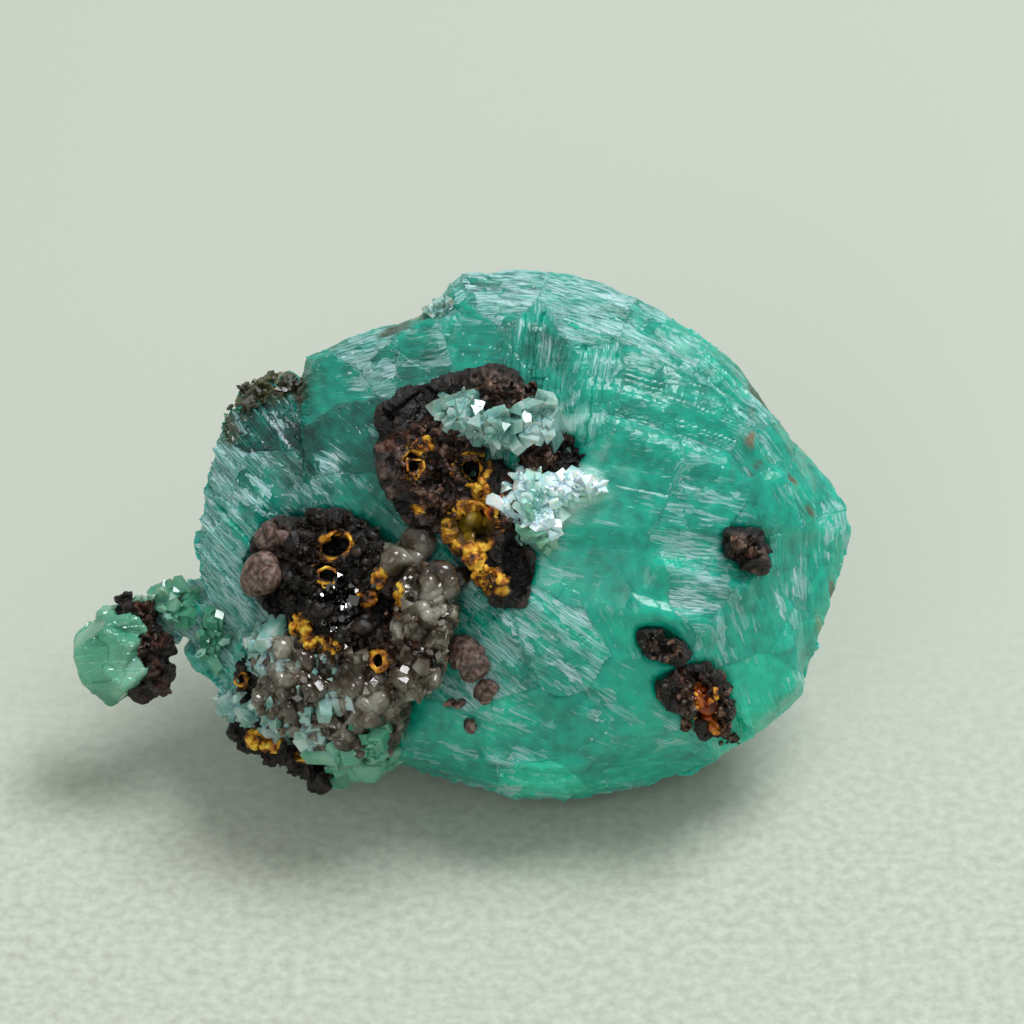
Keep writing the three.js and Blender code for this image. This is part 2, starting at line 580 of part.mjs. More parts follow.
// Builds all pieces from the innermost mineral outwards. Each later piece leaves room for earlier ones.
function buildSpecimen() {
  const taken = [];
  const place = (name, colours, solid, room) => {
    addPiece(name, cutBy(solid, taken), colours);
    taken.push(room);
  };
  const placeNest = (name, colours, nest, seed) => {
    const filling = lumpCluster(nest.lumps, seed, { flatness: NEST_FLATNESS, behind: nest.behind });
    place(name, colours, filling.intersect(wellSolid(nest)), wellSolid(nest, GAP));
  };
  const placeLumps = (name, colours, lumps, seed) =>
    place(name, colours, lumpCluster(lumps, seed), lumpCluster(lumps, seed, { grow: GAP }));
  const placeCrystals = (name, crystals) =>
    place(name, COLOURS.pale, crystalCluster(crystals), crystalCluster(crystals, GAP));

  Object.entries(OCHRE).forEach(([name, parts], i) => {
    const seed = 500 + i * 40;
    place(name, COLOURS.ochre, ochreSolid(parts, seed), ochreRoom(parts, seed));
  });
  placeLumps("ochre_rim", COLOURS.ochre, RIM_OCHRE, 901);

  placeNest("limonite_upper_nest", COLOURS.limonite, UPPER_NEST, 11);
  placeNest("limonite_lower_nest", COLOURS.limonite, LOWER_NEST, 211);
  placeNest("limonite_side_pod", COLOURS.limonite, SIDE_POD, 31);
  placeNest("limonite_right_pod", COLOURS.limonite, RIGHT_POD, 41);
  placeNest("limonite_small_pod", COLOURS.limonite, SMALL_POD, 51);
  placeNest("limonite_branch", COLOURS.limonite, BRANCH, 61);
  placeLumps("limonite_fan_matrix", COLOURS.limonite, FAN_MATRIX, 71);
  placeLumps("limonite_rim", COLOURS.limonite, RIM_LIMONITE, 81);
  placeLumps("limonite_tube_post", COLOURS.limonite, TUBE_POST, 91);
  placeNest("limonite_back", COLOURS.limonite, BACK_NEST, 101);
  placeNest("grey_crust", COLOURS.crust, GREY_CRUST, 111);
  BEADS.forEach((beads, i) => placeLumps(`crust_bead_${i + 1}`, COLOURS.crust, beads, 131 + i));

  placeCrystals("pale_crystals_upper", PALE_UPPER);
  placeCrystals("pale_crystals_side", PALE_SIDE);
  placeCrystals("pale_crystals_left", PALE_LEFT);
  placeCrystals("pale_crystals_corner", PALE_CORNER);
  placeCrystals("pale_crystals_base", PALE_BASE);
  placeCrystals("pale_fan_crystal", FAN_CRYSTAL);

  addPiece("cuproadamite_mass", cutBy(greenMass(), taken), COLOURS.adamite);
}

// Cuts a solid by every cleavage face, each moved outwards by a distance.
function cleave(solid, outwards) {
  return CLEAVAGES.reduce((left, { at, facing }) => {
    const out = new THREE.Vector3(...facing).setLength(outwards);
    return left.subtract(beyondPlane(at.map((v, i) => v + out.getComponent(i)), facing));
  }, solid);
}

// The green mass before its pockets are cut: lobes, cleavage faces, steps, bridge and flat spot.
function greenMass() {
  const random = repeatable(7);
  const domes = join(Object.values(LOBES).map(lobeSolid));
  const ledges = join(STEP_FIELDS.flatMap((field) => stepLedges(field, random))).intersect(insideOutline());
  const grown = join([cleave(domes, 0), cleave(ledges, LEDGE_RELIEF), crystalCluster(BRIDGE_BLOCKS)]);
  const lean = THREE.MathUtils.degToRad(FACE_LEAN);
  const down = [0, -Math.sin(lean), -Math.cos(lean)];
  const reachDown = lowestAlong(grown, down);
  const seat = down.map((d) => d * (reachDown - SEAT_DEPTH));
  return grown.subtract(beyondPlane(seat, down));
}

// How far a solid reaches in a direction.
function lowestAlong(solid, direction) {
  const places = solid.getMesh().vertProperties;
  let furthest = -Infinity;
  for (let i = 0; i < places.length; i += 3) {
    const reach = places[i] * direction[0] + places[i + 1] * direction[1] + places[i + 2] * direction[2];
    furthest = Math.max(furthest, reach);
  }
  return furthest;
}

buildSpecimen();

// Lean the face back and stand the specimen with the middle of its base at the origin.
specimen.rotation.x = THREE.MathUtils.degToRad(FACE_LEAN);
const box = new THREE.Box3().setFromObject(specimen, true);
specimen.position.set(-(box.min.x + box.max.x) / 2, -(box.min.y + box.max.y) / 2, -box.min.z);

export default specimen;
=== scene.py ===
# %% [markdown]
# A rough cuproadamite specimen, about 28 mm long. It is a copper-green mass of stepped, silky
# crystals with two dark nests of limonite, ochre tubes, pale later crystals and a grey crust. The
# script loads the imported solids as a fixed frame, grows a finely stepped surface over each of them
# and gives each mineral its own finish.

# %% Frame and tools
import itertools
import math

import bmesh
import bpy
import numpy as np
from mathutils import Euler, Matrix, Vector
from mathutils.bvhtree import BVHTree


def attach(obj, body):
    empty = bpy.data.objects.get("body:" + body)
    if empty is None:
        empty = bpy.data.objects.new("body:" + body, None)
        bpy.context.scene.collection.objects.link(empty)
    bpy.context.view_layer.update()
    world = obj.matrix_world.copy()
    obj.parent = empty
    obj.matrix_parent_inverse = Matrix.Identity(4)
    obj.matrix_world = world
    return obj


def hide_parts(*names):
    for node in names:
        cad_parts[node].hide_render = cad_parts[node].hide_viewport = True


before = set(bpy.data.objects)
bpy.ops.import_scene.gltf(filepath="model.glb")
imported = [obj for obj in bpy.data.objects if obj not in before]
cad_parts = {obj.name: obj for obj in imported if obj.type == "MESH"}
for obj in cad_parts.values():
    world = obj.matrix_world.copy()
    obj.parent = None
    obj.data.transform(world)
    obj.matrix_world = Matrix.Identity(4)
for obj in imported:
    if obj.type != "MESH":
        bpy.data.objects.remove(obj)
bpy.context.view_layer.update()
print("frame holds", len(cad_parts), "nodes")

# %% [markdown]
# The specimen's display face leans back, and everything on it is easiest to place as seen from the
# front: x to the right, y up the face and z out of it, in millimetres. Places read off the
# photograph are pixels, and one pixel is PIXEL millimetres on the face. Two small functions carry
# points between the face and the frame, which is in metres.

# %% Face and frame
MM = 0.001
FACE_LEAN = math.radians(50)  # how far the face is tipped up from lying flat
FACE_ORIGIN = np.array([1.3179, -0.1084, 8.3442])  # the face's zero in the frame, in millimetres
PIXEL = 28 / 795  # millimetres on the face for one pixel of the photograph
PIXEL_ZERO = (500, 540)  # the pixel at the face's zero

TURN = np.array(Matrix.Rotation(FACE_LEAN, 3, "X"))


def to_face(points):
    """Frame metres to face millimetres."""
    return (np.asarray(points) / MM - FACE_ORIGIN) @ TURN


def to_frame(points):
    """Face millimetres to frame metres."""
    return (np.asarray(points) @ TURN.T + FACE_ORIGIN) * MM


def on_face(px, py):
    """The face millimetres of a pixel."""
    return (px - PIXEL_ZERO[0]) * PIXEL, (PIXEL_ZERO[1] - py) * PIXEL


# %% [markdown]
# Crystals are rough in a regular way, so the relief is drawn with a few number patterns that give
# the same result each run. chance turns whole numbers into a repeatable number from 0 to 1, and the
# noise is smooth between the points of a lattice.

# %% Repeatable patterns
WORD = 0xFFFFFFFF  # all bits of a 32-bit number
SPREAD = (2654435761, 0x9E3779B1, 0x85EBCA6B)  # odd factors that scatter a number's bits


def chance(seed, *cells):
    """A repeatable number from 0 to 1 for each set of whole numbers."""
    mixed = np.full(np.shape(cells[0]), (seed * SPREAD[0]) & WORD, np.uint64)
    for cell in cells:
        mixed ^= (np.asarray(cell).astype(np.int64) & WORD).astype(np.uint64)
        mixed = (mixed * SPREAD[1]) & WORD
        mixed ^= mixed >> np.uint64(15)
    mixed = (mixed * SPREAD[2]) & WORD
    mixed ^= mixed >> np.uint64(13)
    return mixed / WORD


def soft_noise(points, size, seed):
    """Smooth noise from -1 to 1, with features about `size` apart."""
    place = points / size
    cell = np.floor(place).astype(np.int64)
    part = place - cell
    part = part * part * (3 - 2 * part)
    total = np.zeros(len(points))
    for corner in itertools.product((0, 1), repeat=points.shape[1]):
        weight = np.prod(np.where(corner, part, 1 - part), axis=1)
        total += weight * chance(seed, *(cell + corner).T)
    return total * 2 - 1


def rough_noise(points, size, seed, octaves=3):
    """Noise with finer and weaker noise added to it."""
    total = sum(soft_noise(points, size / 2**i, seed + i) / 2**i for i in range(octaves))
    return total / (2 - 0.5 ** (octaves - 1))


def smooth_step(value, low, high):
    """0 at low, 1 at high and smooth between them."""
    share = np.clip((value - low) / (high - low), 0, 1)
    return share * share * (3 - 2 * share)


# %% [markdown]
# Each solid is a closed low mesh of flat facets. Voxel remeshing turns a copy of it, or of several
# that lie in each other, into one even skin that is fine enough to carry relief. Smoothing first
# takes off the coarse edges. A mesh that has its relief is thinned by Decimate, which keeps its
# triangles where the surface bends.

# %% Skins from the solids
collection = bpy.context.scene.collection


def mesh_object(name, mesh):
    piece = bpy.data.objects.new(name, mesh)
    collection.objects.link(piece)
    return piece


def apply_modifier(piece, kind, **settings):
    """Gives the piece the mesh that the modifier makes of it."""
    modifier = piece.modifiers.new(kind, kind)
    for key, value in settings.items():
        setattr(modifier, key, value)
    depsgraph = bpy.context.evaluated_depsgraph_get()
    mesh = bpy.data.meshes.new_from_object(piece.evaluated_get(depsgraph))
    piece.modifiers.clear()
    old = piece.data
    piece.data = mesh
    bpy.data.meshes.remove(old)


def joined_copy(name, nodes):
    """One merged copy of the solids with these names."""
    shape = bmesh.new()
    for node in nodes:
        shape.from_mesh(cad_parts[node].data)
    bmesh.ops.remove_doubles(shape, verts=shape.verts, dist=1e-7)
    mesh = bpy.data.meshes.new(name)
    shape.to_mesh(mesh)
    shape.free()
    return mesh_object(name, mesh)


def skin(name, nodes, coarse, rounds, fine):
    """A smooth closed skin over solids. coarse and fine are voxel sizes in millimetres."""
    piece = joined_copy(name, nodes)
    apply_modifier(piece, "REMESH", mode="VOXEL", voxel_size=coarse * MM)
    if rounds:
        apply_modifier(piece, "SMOOTH", factor=0.5, iterations=rounds)
    apply_modifier(piece, "REMESH", mode="VOXEL", voxel_size=fine * MM)
    return piece


def places_of(mesh):
    places = np.empty(len(mesh.vertices) * 3)
    mesh.vertices.foreach_get("co", places)
    return places.reshape(-1, 3)


def normals_of(mesh):
    normals = np.empty(len(mesh.vertices) * 3)
    mesh.vertices.foreach_get("normal", normals)
    return normals.reshape(-1, 3)


def move_points(mesh, places):
    mesh.vertices.foreach_set("co", places.ravel())
    mesh.update()


def store(mesh, name, values):
    """Keeps a number for each point, which a material reads by its name."""
    mesh.attributes.new(name, "FLOAT", "POINT").data.foreach_set("value", values)


# %% [markdown]
# The green mass is copper-bearing adamite. It grew as bundles of thin blades side by side, so its
# face is a patchwork of domains, and in each one the ledges run their own way. A domain is given by
# the pixel in its middle, the way its ledges run, their width, length and height in millimetres,
# how strong its flat facets are, its tone and how much painted sheen it has. The tone is partly the
# mineral's own and partly painted light: a lighter glow at the lower right and along the lower edge,
# and painted shade at the upper left. Every point of the face belongs to the domain whose middle is
# nearest, with a little noise to make the borders ragged.

# %% Domains of the green face
# px, py, angle, width, length, ledge, facet, tone with painted glow and shade, painted sheen
DOMAINS = [
    (440, 300, 30, 0.30, 2.6, 0.08, 0.06, -0.25, 0.40),
    (500, 292, -3, 0.28, 4.0, 0.05, 0.03, -0.45, 0.60),
    (590, 305, -16, 0.28, 4.2, 0.05, 0.03, -0.15, 0.75),
    (665, 340, -28, 0.28, 4.2, 0.05, 0.03, -0.05, 0.56),
    (735, 385, -42, 0.30, 3.8, 0.06, 0.03, -0.20, 0.30),
    (365, 352, 14, 0.26, 3.4, 0.07, 0.03, -0.35, 0.62),
    (330, 392, 4, 0.26, 2.6, 0.04, 0.04, -0.25, 0.10),
    (470, 335, -4, 0.34, 2.6, 0.05, 0.06, -0.20, 0.12),
    (540, 345, 82, 0.30, 1.8, 0.10, 0.05, -0.25, 0.18),
    (585, 385, 80, 0.30, 1.8, 0.09, 0.04, -0.15, 0.12),
    (640, 395, -15, 0.24, 5.0, 0.05, 0.02, -0.15, 0.00),
    (700, 430, -20, 0.24, 5.0, 0.05, 0.02, -0.10, 0.08),
    (640, 460, -12, 0.34, 4.5, 0.02, 0.04, 0.00, 0.00),
    (345, 440, -36, 0.40, 3.0, 0.02, 0.05, -0.85, 0.08),
    (350, 500, -42, 0.34, 3.2, 0.03, 0.04, -0.60, 0.14),
    (420, 350, 8, 0.30, 2.6, 0.05, 0.04, -0.45, 0.35),
    (250, 420, -52, 0.34, 3.0, 0.14, 0.04, -0.85, 0.00),
    (215, 470, -50, 0.34, 3.2, 0.15, 0.04, -0.25, 1.00),
    (210, 530, -46, 0.32, 3.6, 0.13, 0.04, -0.20, 0.95),
    (270, 490, -44, 0.32, 3.4, 0.04, 0.04, -0.60, 0.36),
    (440, 600, -38, 0.36, 2.6, 0.04, 0.05, -0.25, 0.50),
    (490, 660, -40, 0.40, 2.0, 0.05, 0.08, -0.20, 0.56),
    (560, 640, -34, 0.45, 2.0, 0.05, 0.06, 0.10, 0.46),
    (580, 545, -12, 0.50, 3.4, 0.01, 0.03, 0.05, -0.05),
    (640, 600, -60, 0.60, 3.0, 0.01, 0.03, 0.05, -0.10),
    (695, 575, -8, 0.55, 2.8, 0.02, 0.04, 0.10, 0.55),
    (710, 500, -10, 0.55, 3.2, 0.02, 0.06, -0.05, 0.14),
    (760, 470, -56, 0.45, 3.4, 0.03, 0.05, -0.10, 0.08),
    (640, 700, -30, 0.60, 3.0, 0.01, 0.03, 0.00, -0.10),
    (580, 740, -20, 0.60, 3.2, 0.01, 0.03, 0.00, -0.10),
    (520, 735, -24, 0.55, 2.8, 0.03, 0.06, 0.00, 0.12),
    (460, 760, -14, 0.50, 2.6, 0.03, 0.05, -0.10, 0.10),
    (770, 690, -74, 0.45, 3.0, 0.03, 0.06, 0.45, 0.05),
    (750, 620, -70, 0.50, 3.0, 0.02, 0.04, 0.10, 0.20),
    (825, 560, -82, 0.40, 3.2, 0.05, 0.05, 0.10, 0.10),
    (805, 480, -54, 0.40, 3.4, 0.05, 0.05, -0.05, 0.12),
    (800, 650, -78, 0.40, 3.0, 0.05, 0.05, 0.15, 0.10),
    (540, 790, -2, 0.60, 2.4, 0.04, 0.08, 0.60, 0.05),
    (640, 770, 10, 0.60, 2.6, 0.02, 0.05, 0.05, 0.04),
]
RAGGED = 0.5  # millimetres that the borders of the domains wander
SEAM_PIXEL = 305  # where the main mass meets the left lobe
SEAM_STEP = 0.22  # millimetres that the main mass stands over the left lobe
BROKEN = 0.3  # share of the ledges that are broken off short


def blades(along, across, width, length, seed):
    """Overlapping ledges, each with one long slope and one sharp edge, some broken off short."""
    plane = np.column_stack([along / (2 * length), across / (5 * width)])
    place = across / width + 1.6 * soft_noise(plane, 1.0, seed)
    row = np.floor(place)
    run = along / length * (0.6 + 0.8 * chance(seed + 1, row)) + 7 * chance(seed + 2, row)
    broken = chance(seed + 3, row, np.floor(run)) < BROKEN
    return 0.6 * (place - row) + 0.4 * chance(seed + 4, row) - 0.35 * broken


def facets(along, across, size, seed):
    """Flat facets of a random tilt, each around its own point of a jittered grid."""
    column, row = np.floor(along / size), np.floor(across / size)
    nearest = np.full(len(along), np.inf)
    height = np.zeros(len(along))
    for right, up in itertools.product((-1, 0, 1), repeat=2):
        cell = column + right, row + up
        from_x = along - (cell[0] + chance(seed, *cell)) * size
        from_y = across - (cell[1] + chance(seed + 1, *cell)) * size
        away = from_x**2 + from_y**2
        tilt_x, tilt_y = chance(seed + 2, *cell) - 0.5, chance(seed + 3, *cell) - 0.5
        facet = (tilt_x * from_x + tilt_y * from_y) / size * 2 + chance(seed + 4, *cell) - 0.5
        height = np.where(away < nearest, facet, height)
        nearest = np.minimum(nearest, away)
    return height


def face_relief(face, turned):
    """Relief height, tone with painted glow and shade, painted sheen and the way along and across the
    ledges, for points of the face.
    """
    flat = face[:, :2]
    wander = np.column_stack([rough_noise(flat, 2.4, 5), rough_noise(flat, 2.4, 9)])
    ragged = flat + RAGGED * wander
    middles = np.array([on_face(px, py) for px, py, *_ in DOMAINS])
    domain = np.argmin(((ragged[:, None, :] - middles) ** 2).sum(axis=2), axis=1)
    relief, tone_and_painted_light, painted_sheen = (np.zeros(len(face)) for _ in range(3))
    bend = 1 + 1.6 * smooth_step(turned, 0.15, 0.5)  # higher ledges where the face bends away
    grain = np.zeros((len(face), 3))
    for i, (_, _, angle, width, length, ledge, facet, light, sheen_level) in enumerate(DOMAINS):
        inside = domain == i
        heading = math.radians(angle)
        from_middle = flat[inside] - middles[i]
        along = from_middle @ (math.cos(heading), math.sin(heading))
        across = from_middle @ (-math.sin(heading), math.cos(heading))
        large = blades(along, across, width * 2.4, length * 1.6, 40 + i)
        small = blades(along, across, width, length, 80 + i)
        fine = blades(along, across, width * 0.4, length * 0.7, 120 + i)
        steps = large + 0.7 * small + 0.25 * fine - 0.9
        flat_facets = facets(along * 0.6, across, 1.6, 160 + i)
        relief[inside] = ledge * bend[inside] * steps + facet * flat_facets
        tone_and_painted_light[inside] = light
        painted_sheen[inside] = sheen_level
        grain[inside] = np.column_stack([along, across, np.full(inside.sum(), float(i))])
    seam = on_face(SEAM_PIXEL, 0)[0] + 0.06 * soft_noise(flat, 0.5, 31)
    beside = smooth_step(flat[:, 0], seam - 0.04, seam + 0.04) * smooth_step(flat[:, 1], -0.4, 0.6)
    relief += SEAM_STEP * beside
    return relief, tone_and_painted_light, painted_sheen, grain


# %% [markdown]
# Iron stained the mass at a few places. A stain is an ellipse on the face: what it is, the pixel in
# its middle, its half width and half height in pixels and its turn in degrees.

# %% Stains
STAINS = [
    ("olive", 265, 378, 60, 26, -6),
    ("olive", 212, 400, 36, 40, 30),
    ("milk", 556, 492, 64, 28, 12),
    ("milk", 505, 425, 68, 30, 4),
    ("rust", 746, 442, 4, 9, -16),
    ("rust", 752, 470, 3, 10, -30),
    ("rust", 790, 486, 9, 3, -52),
    ("rust", 806, 512, 7, 3, -60),
    ("milk", 260, 660, 34, 44, 0),
    ("olive", 192, 440, 14, 46, 14),
    ("cream", 432, 306, 24, 14, 36),
    ("olive", 400, 334, 20, 5, 22),
    ("cream", 808, 452, 30, 6, -52),
    ("olive", 790, 436, 26, 6, -46),
    ("rust", 836, 596, 5, 16, 10),
    ("cream", 826, 640, 5, 26, 18),
    ("olive", 760, 400, 34, 5, -46),
]


def mark_reach(flat, px, py, half_wide, half_high, turn, ragged=0.3):
    """How far points are from a mark's middle, where 1 is its edge."""
    heading = math.radians(turn)
    away = flat - on_face(px, py)
    along = away @ (math.cos(heading), math.sin(heading)) / (half_wide * PIXEL)
    across = away @ (-math.sin(heading), math.cos(heading)) / (half_high * PIXEL)
    return np.hypot(along, across) + ragged * rough_noise(flat, 0.5, px, 3)


def stain_shares(flat):
    """How strongly each kind of stain covers points of the face."""
    shares = {kind: np.zeros(len(flat)) for kind in ("milk", "olive", "cream", "rust")}
    for kind, *mark in STAINS:
        share = smooth_step(mark_reach(flat, *mark, ragged=0.5), 1.2, 0.5)
        shares[kind] = np.maximum(shares[kind], share)
    return shares


# %% [markdown]
# The mass is one skin over its own solid and the pale crystals, whose places it fills. The pockets
# of the dark nests stay open. The front gets the domains. The sides and the back, which the photograph
# doesn't show, get the same kind of ledges, drawn from three directions.

# %% Green mass
TRIANGLES = 190_000  # the most in this piece
MASS_VOXEL = 0.08  # millimetres between the points of the skin
BACK_TONE, BACK_SHEEN = -0.1, 0.15
MASS_NODES = ["cuproadamite_mass"]
MASS_NODES += [f"pale_crystals_{place}" for place in ("upper", "side", "left", "corner", "base")]
mass = skin("adamite_mass", MASS_NODES, 0.2, 5, MASS_VOXEL * (1))
places, normals = to_face(places_of(mass.data)), normals_of(mass.data) @ TURN
front = smooth_step(normals[:, 2], -0.1, 0.35)
relief, tone_and_painted_light, painted_sheen, grain = face_relief(places, 1 - normals[:, 2])


def back_relief(points, normals):
    """Ledges and facets for the sides and the back."""
    total = np.zeros(len(points))
    for i, (first, second, third) in enumerate(((0, 1, 2), (1, 2, 0), (2, 0, 1))):
        weight = smooth_step(np.abs(normals[:, third]), 0.35, 0.75)
        along = points[:, first] * 0.8 + points[:, second] * 0.6
        across = points[:, second] * 0.8 - points[:, first] * 0.6
        large = 0.2 * blades(along, across, 0.7, 3.0, 200 + i)
        small = 0.08 * blades(along, across, 0.25, 2.0, 210 + i)
        flat_facets = 0.25 * facets(along * 0.6, across, 1.8, 220 + i)
        total += weight * (large + small + flat_facets - 0.14)
    return total


hidden = back_relief(places, normals)
height = front * relief + (1 - front) * hidden
seat = smooth_step(places_of(mass.data)[:, 2] / MM, 0.15, 0.9)  # no relief on the flat spot
move_points(mass.data, to_frame(places + normals * (height * seat)[:, None]))
# The tone holds painted glow and painted shade, and the next number is the share of painted sheen.
store(mass.data, "tone_and_painted_light", tone_and_painted_light * front + BACK_TONE * (1 - front))
store(mass.data, "painted_sheen", painted_sheen * front + BACK_SHEEN * (1 - front))
for kind, share in stain_shares(places[:, :2]).items():
    store(mass.data, kind, share * smooth_step(normals[:, 2], -0.4, 0.0))
grain_kept = mass.data.attributes.new("grain", "FLOAT_VECTOR", "POINT")
along, across = places @ (0.7, 0.5, 0.5), places @ (-0.3, 0.8, -0.5)
side_grain = np.column_stack([along, across, np.zeros(len(places))])
grain = np.where(front[:, None] > 0.5, grain, side_grain)
grain_kept.data.foreach_set("vector", grain.ravel())
apply_modifier(mass, "DECIMATE", ratio=min(1.0, TRIANGLES / (2 * len(mass.data.polygons))))
print("green mass:", len(mass.data.polygons), "triangles")

# %% [markdown]
# Each material starts from what the mineral is. One function turns an sRGB hex value to the linear
# colour that shaders use, and one adds a node with its settings and links. The others are the kinds
# of nodes that the materials share.

# %% Colours and nodes


def colour(hex_value):
    """The linear colour of an sRGB hex value."""
    channels = [int(hex_value[i : i + 2], 16) / 255 for i in (1, 3, 5)]
    linear = [c / 12.92 if c <= 0.04045 else ((c + 0.055) / 1.055) ** 2.4 for c in channels]
    return (*linear, 1.0)


def add_node(material, kind, inputs=None, **settings):
    """Adds a node. Each input is a value, or an output to link from."""
    node = material.node_tree.nodes.new("ShaderNode" + kind)
    for key, value in settings.items():
        setattr(node, key, value)
    for key, value in (inputs or {}).items():
        if isinstance(value, bpy.types.NodeSocket):
            material.node_tree.links.new(value, node.inputs[key])
        else:
            node.inputs[key].default_value = value
    return node


def new_material(name):
    """A new material and its shader."""
    material = bpy.data.materials.new(name)
    material.use_nodes = True
    shader = material.node_tree.nodes["Principled BSDF"]
    return material, shader


def link(material, output, socket):
    material.node_tree.links.new(output, socket)


def set_inputs(shader, values):
    for name, value in values.items():
        shader.inputs[name].default_value = value


def attribute_of(material, name):
    """A number that a piece keeps for each point."""
    return add_node(material, "Attribute", attribute_name=name).outputs["Fac"]


def object_place_of(material):
    return add_node(material, "TexCoord").outputs["Object"]


def noise_at(material, place, scale, detail):
    """Smooth noise from 0 to 1 at a place."""
    inputs = {"Vector": place, "Scale": scale, "Detail": detail}
    return add_node(material, "TexNoise", inputs).outputs["Fac"]


def ranged(material, value, low, high, start=0.0, end=1.0):
    """Turns the range from low to high into the range from start to end."""
    inputs = {"Value": value, "From Min": low, "From Max": high, "To Min": start, "To Max": end}
    return add_node(material, "MapRange", inputs).outputs[0]


def math_node(material, operation, *values):
    """A math node over its values, which may be outputs of other nodes."""
    return add_node(material, "Math", dict(enumerate(values)), operation=operation).outputs[0]


def mix_colours(material, share, below, above):
    node = add_node(material, "Mix", {0: share, 6: below, 7: above}, data_type="RGBA")
    return node.outputs[2]


def bump_surface(material, shader, height, distance, strength=1.0):
    """Bumps the surface by a height from 0 to 1, over a distance in millimetres."""
    inputs = {"Height": height, "Strength": strength, "Distance": distance * MM}
    link(material, add_node(material, "Bump", inputs).outputs[0], shader.inputs["Normal"])


def ramp(material, factor, stops):
    """A colour ramp through (place, hex colour) stops."""
    node = add_node(material, "ValToRGB", {"Fac": factor})
    band = node.color_ramp
    while len(band.elements) < len(stops):
        band.elements.new(0.5)
    for element, (place, hex_value) in zip(band.elements, stops):
        element.position = place
        element.color = colour(hex_value)
    return node.outputs["Color"]


# %% [markdown]
# Copper-bearing adamite is a zinc arsenate that copper colours teal. It is translucent, so light
# that enters scatters inside and comes out elsewhere, which subsurface scattering gives. Its index
# of refraction is 1.72 to 1.76, which makes its cleavage faces bright. The light that the blades
# reflect is painted into the colour as a sheen of silky white streaks that run along the ledges.

# %% Adamite
adamite, shader = new_material("translucent_adamite")
object_place = object_place_of(adamite)
sheen_value = attribute_of(adamite, "painted_sheen")
grain_place = add_node(adamite, "Attribute", attribute_name="grain").outputs["Vector"]

# Body: the domain's tone, partly painted glow and painted shade, with large clouds and a fine mottle.
clouds = noise_at(adamite, object_place, 260.0, 5.0)
mottle = ranged(adamite, noise_at(adamite, object_place, 2200.0, 6.0), 0.3, 0.7, -0.1, 0.1)
shade = math_node(adamite, "MULTIPLY_ADD", attribute_of(adamite, "tone_and_painted_light"), 0.36, 0.24)
shade = math_node(adamite, "MULTIPLY_ADD", clouds, 0.62, shade)
shade = math_node(adamite, "ADD", shade, mottle)
TEAL = [
    (0.14, "#033934"),
    (0.36, "#057565"),
    (0.56, "#05a38c"),
    (0.76, "#10c2a0"),
    (1.0, "#5fe6ca"),
]
body_colour = ramp(adamite, shade, TEAL)


def stretched(place, scale):
    """A place of the adamite, drawn out along the grain."""
    return add_node(adamite, "Mapping", {"Vector": place, "Scale": scale}).outputs[0]


# Painted sheen: each flake of the split face is one cell of a stretched cell pattern, with ragged edges,
# painted pale to stand for reflected light.
wander = add_node(adamite, "TexNoise", {"Vector": grain_place, "Scale": 2.4, "Detail": 4.0})
sideways = {0: wander.outputs["Color"], 1: (0.7, 0.7, 0.0)}
wander = add_node(adamite, "VectorMath", sideways, operation="MULTIPLY").outputs[0]
wandered = add_node(adamite, "VectorMath", {0: wander, 1: grain_place}, operation="ADD").outputs[0]
flake_place = stretched(wandered, (0.9, 3.2, 1.0))
flakes = add_node(adamite, "TexVoronoi", {"Vector": flake_place, "Scale": 1.0}).outputs["Color"]
flake = add_node(adamite, "SeparateColor", {"Color": flakes}).outputs
streaks = noise_at(adamite, stretched(grain_place, (0.9, 8.0, 1.0)), 1.0, 6.0)
hairs = noise_at(adamite, stretched(grain_place, (1.7, 20.0, 1.0)), 1.0, 4.0)
patch = noise_at(adamite, object_place, 420.0, 6.0)
over = math_node(adamite, "MULTIPLY_ADD", patch, 2.0, sheen_value)
over = math_node(adamite, "MULTIPLY_ADD", streaks, 1.8, over)
over = math_node(adamite, "SUBTRACT", over, flake[0])
hair_share = ranged(adamite, hairs, 0.4, 0.54, 0.32, 1.0)
sheen_share = ranged(adamite, over, 1.74, 2.06)
sheen_share = math_node(
    adamite, "MULTIPLY", sheen_share, math_node(adamite, "MULTIPLY_ADD", flake[1], 0.6, 0.4)
)
sheen_share = math_node(adamite, "MULTIPLY", sheen_share, hair_share)
sheen_colour = mix_colours(adamite, hair_share, colour("#508d8c"), colour("#acccce"))

# Between the hairs the face is dark, and a few hairs are painted bright as glints along the grain.
gaps = ranged(adamite, hairs, 0.48, 0.36, 0.0, 0.7)
gap_weight = math_node(adamite, "MULTIPLY_ADD", sheen_value, 0.9, 0.1)
gap_share = math_node(adamite, "MULTIPLY", gaps, gap_weight)
glint_lines = ranged(adamite, hairs, 0.64, 0.72, 0.0, 0.35)
surface = mix_colours(adamite, gap_share, body_colour, colour("#05564f"))
# Painted sheen: pale streaks over the body colour stand for light reflected from the blades.
surface = mix_colours(adamite, sheen_share, surface, sheen_colour)
surface = mix_colours(adamite, glint_lines, surface, colour("#b5e3da"))

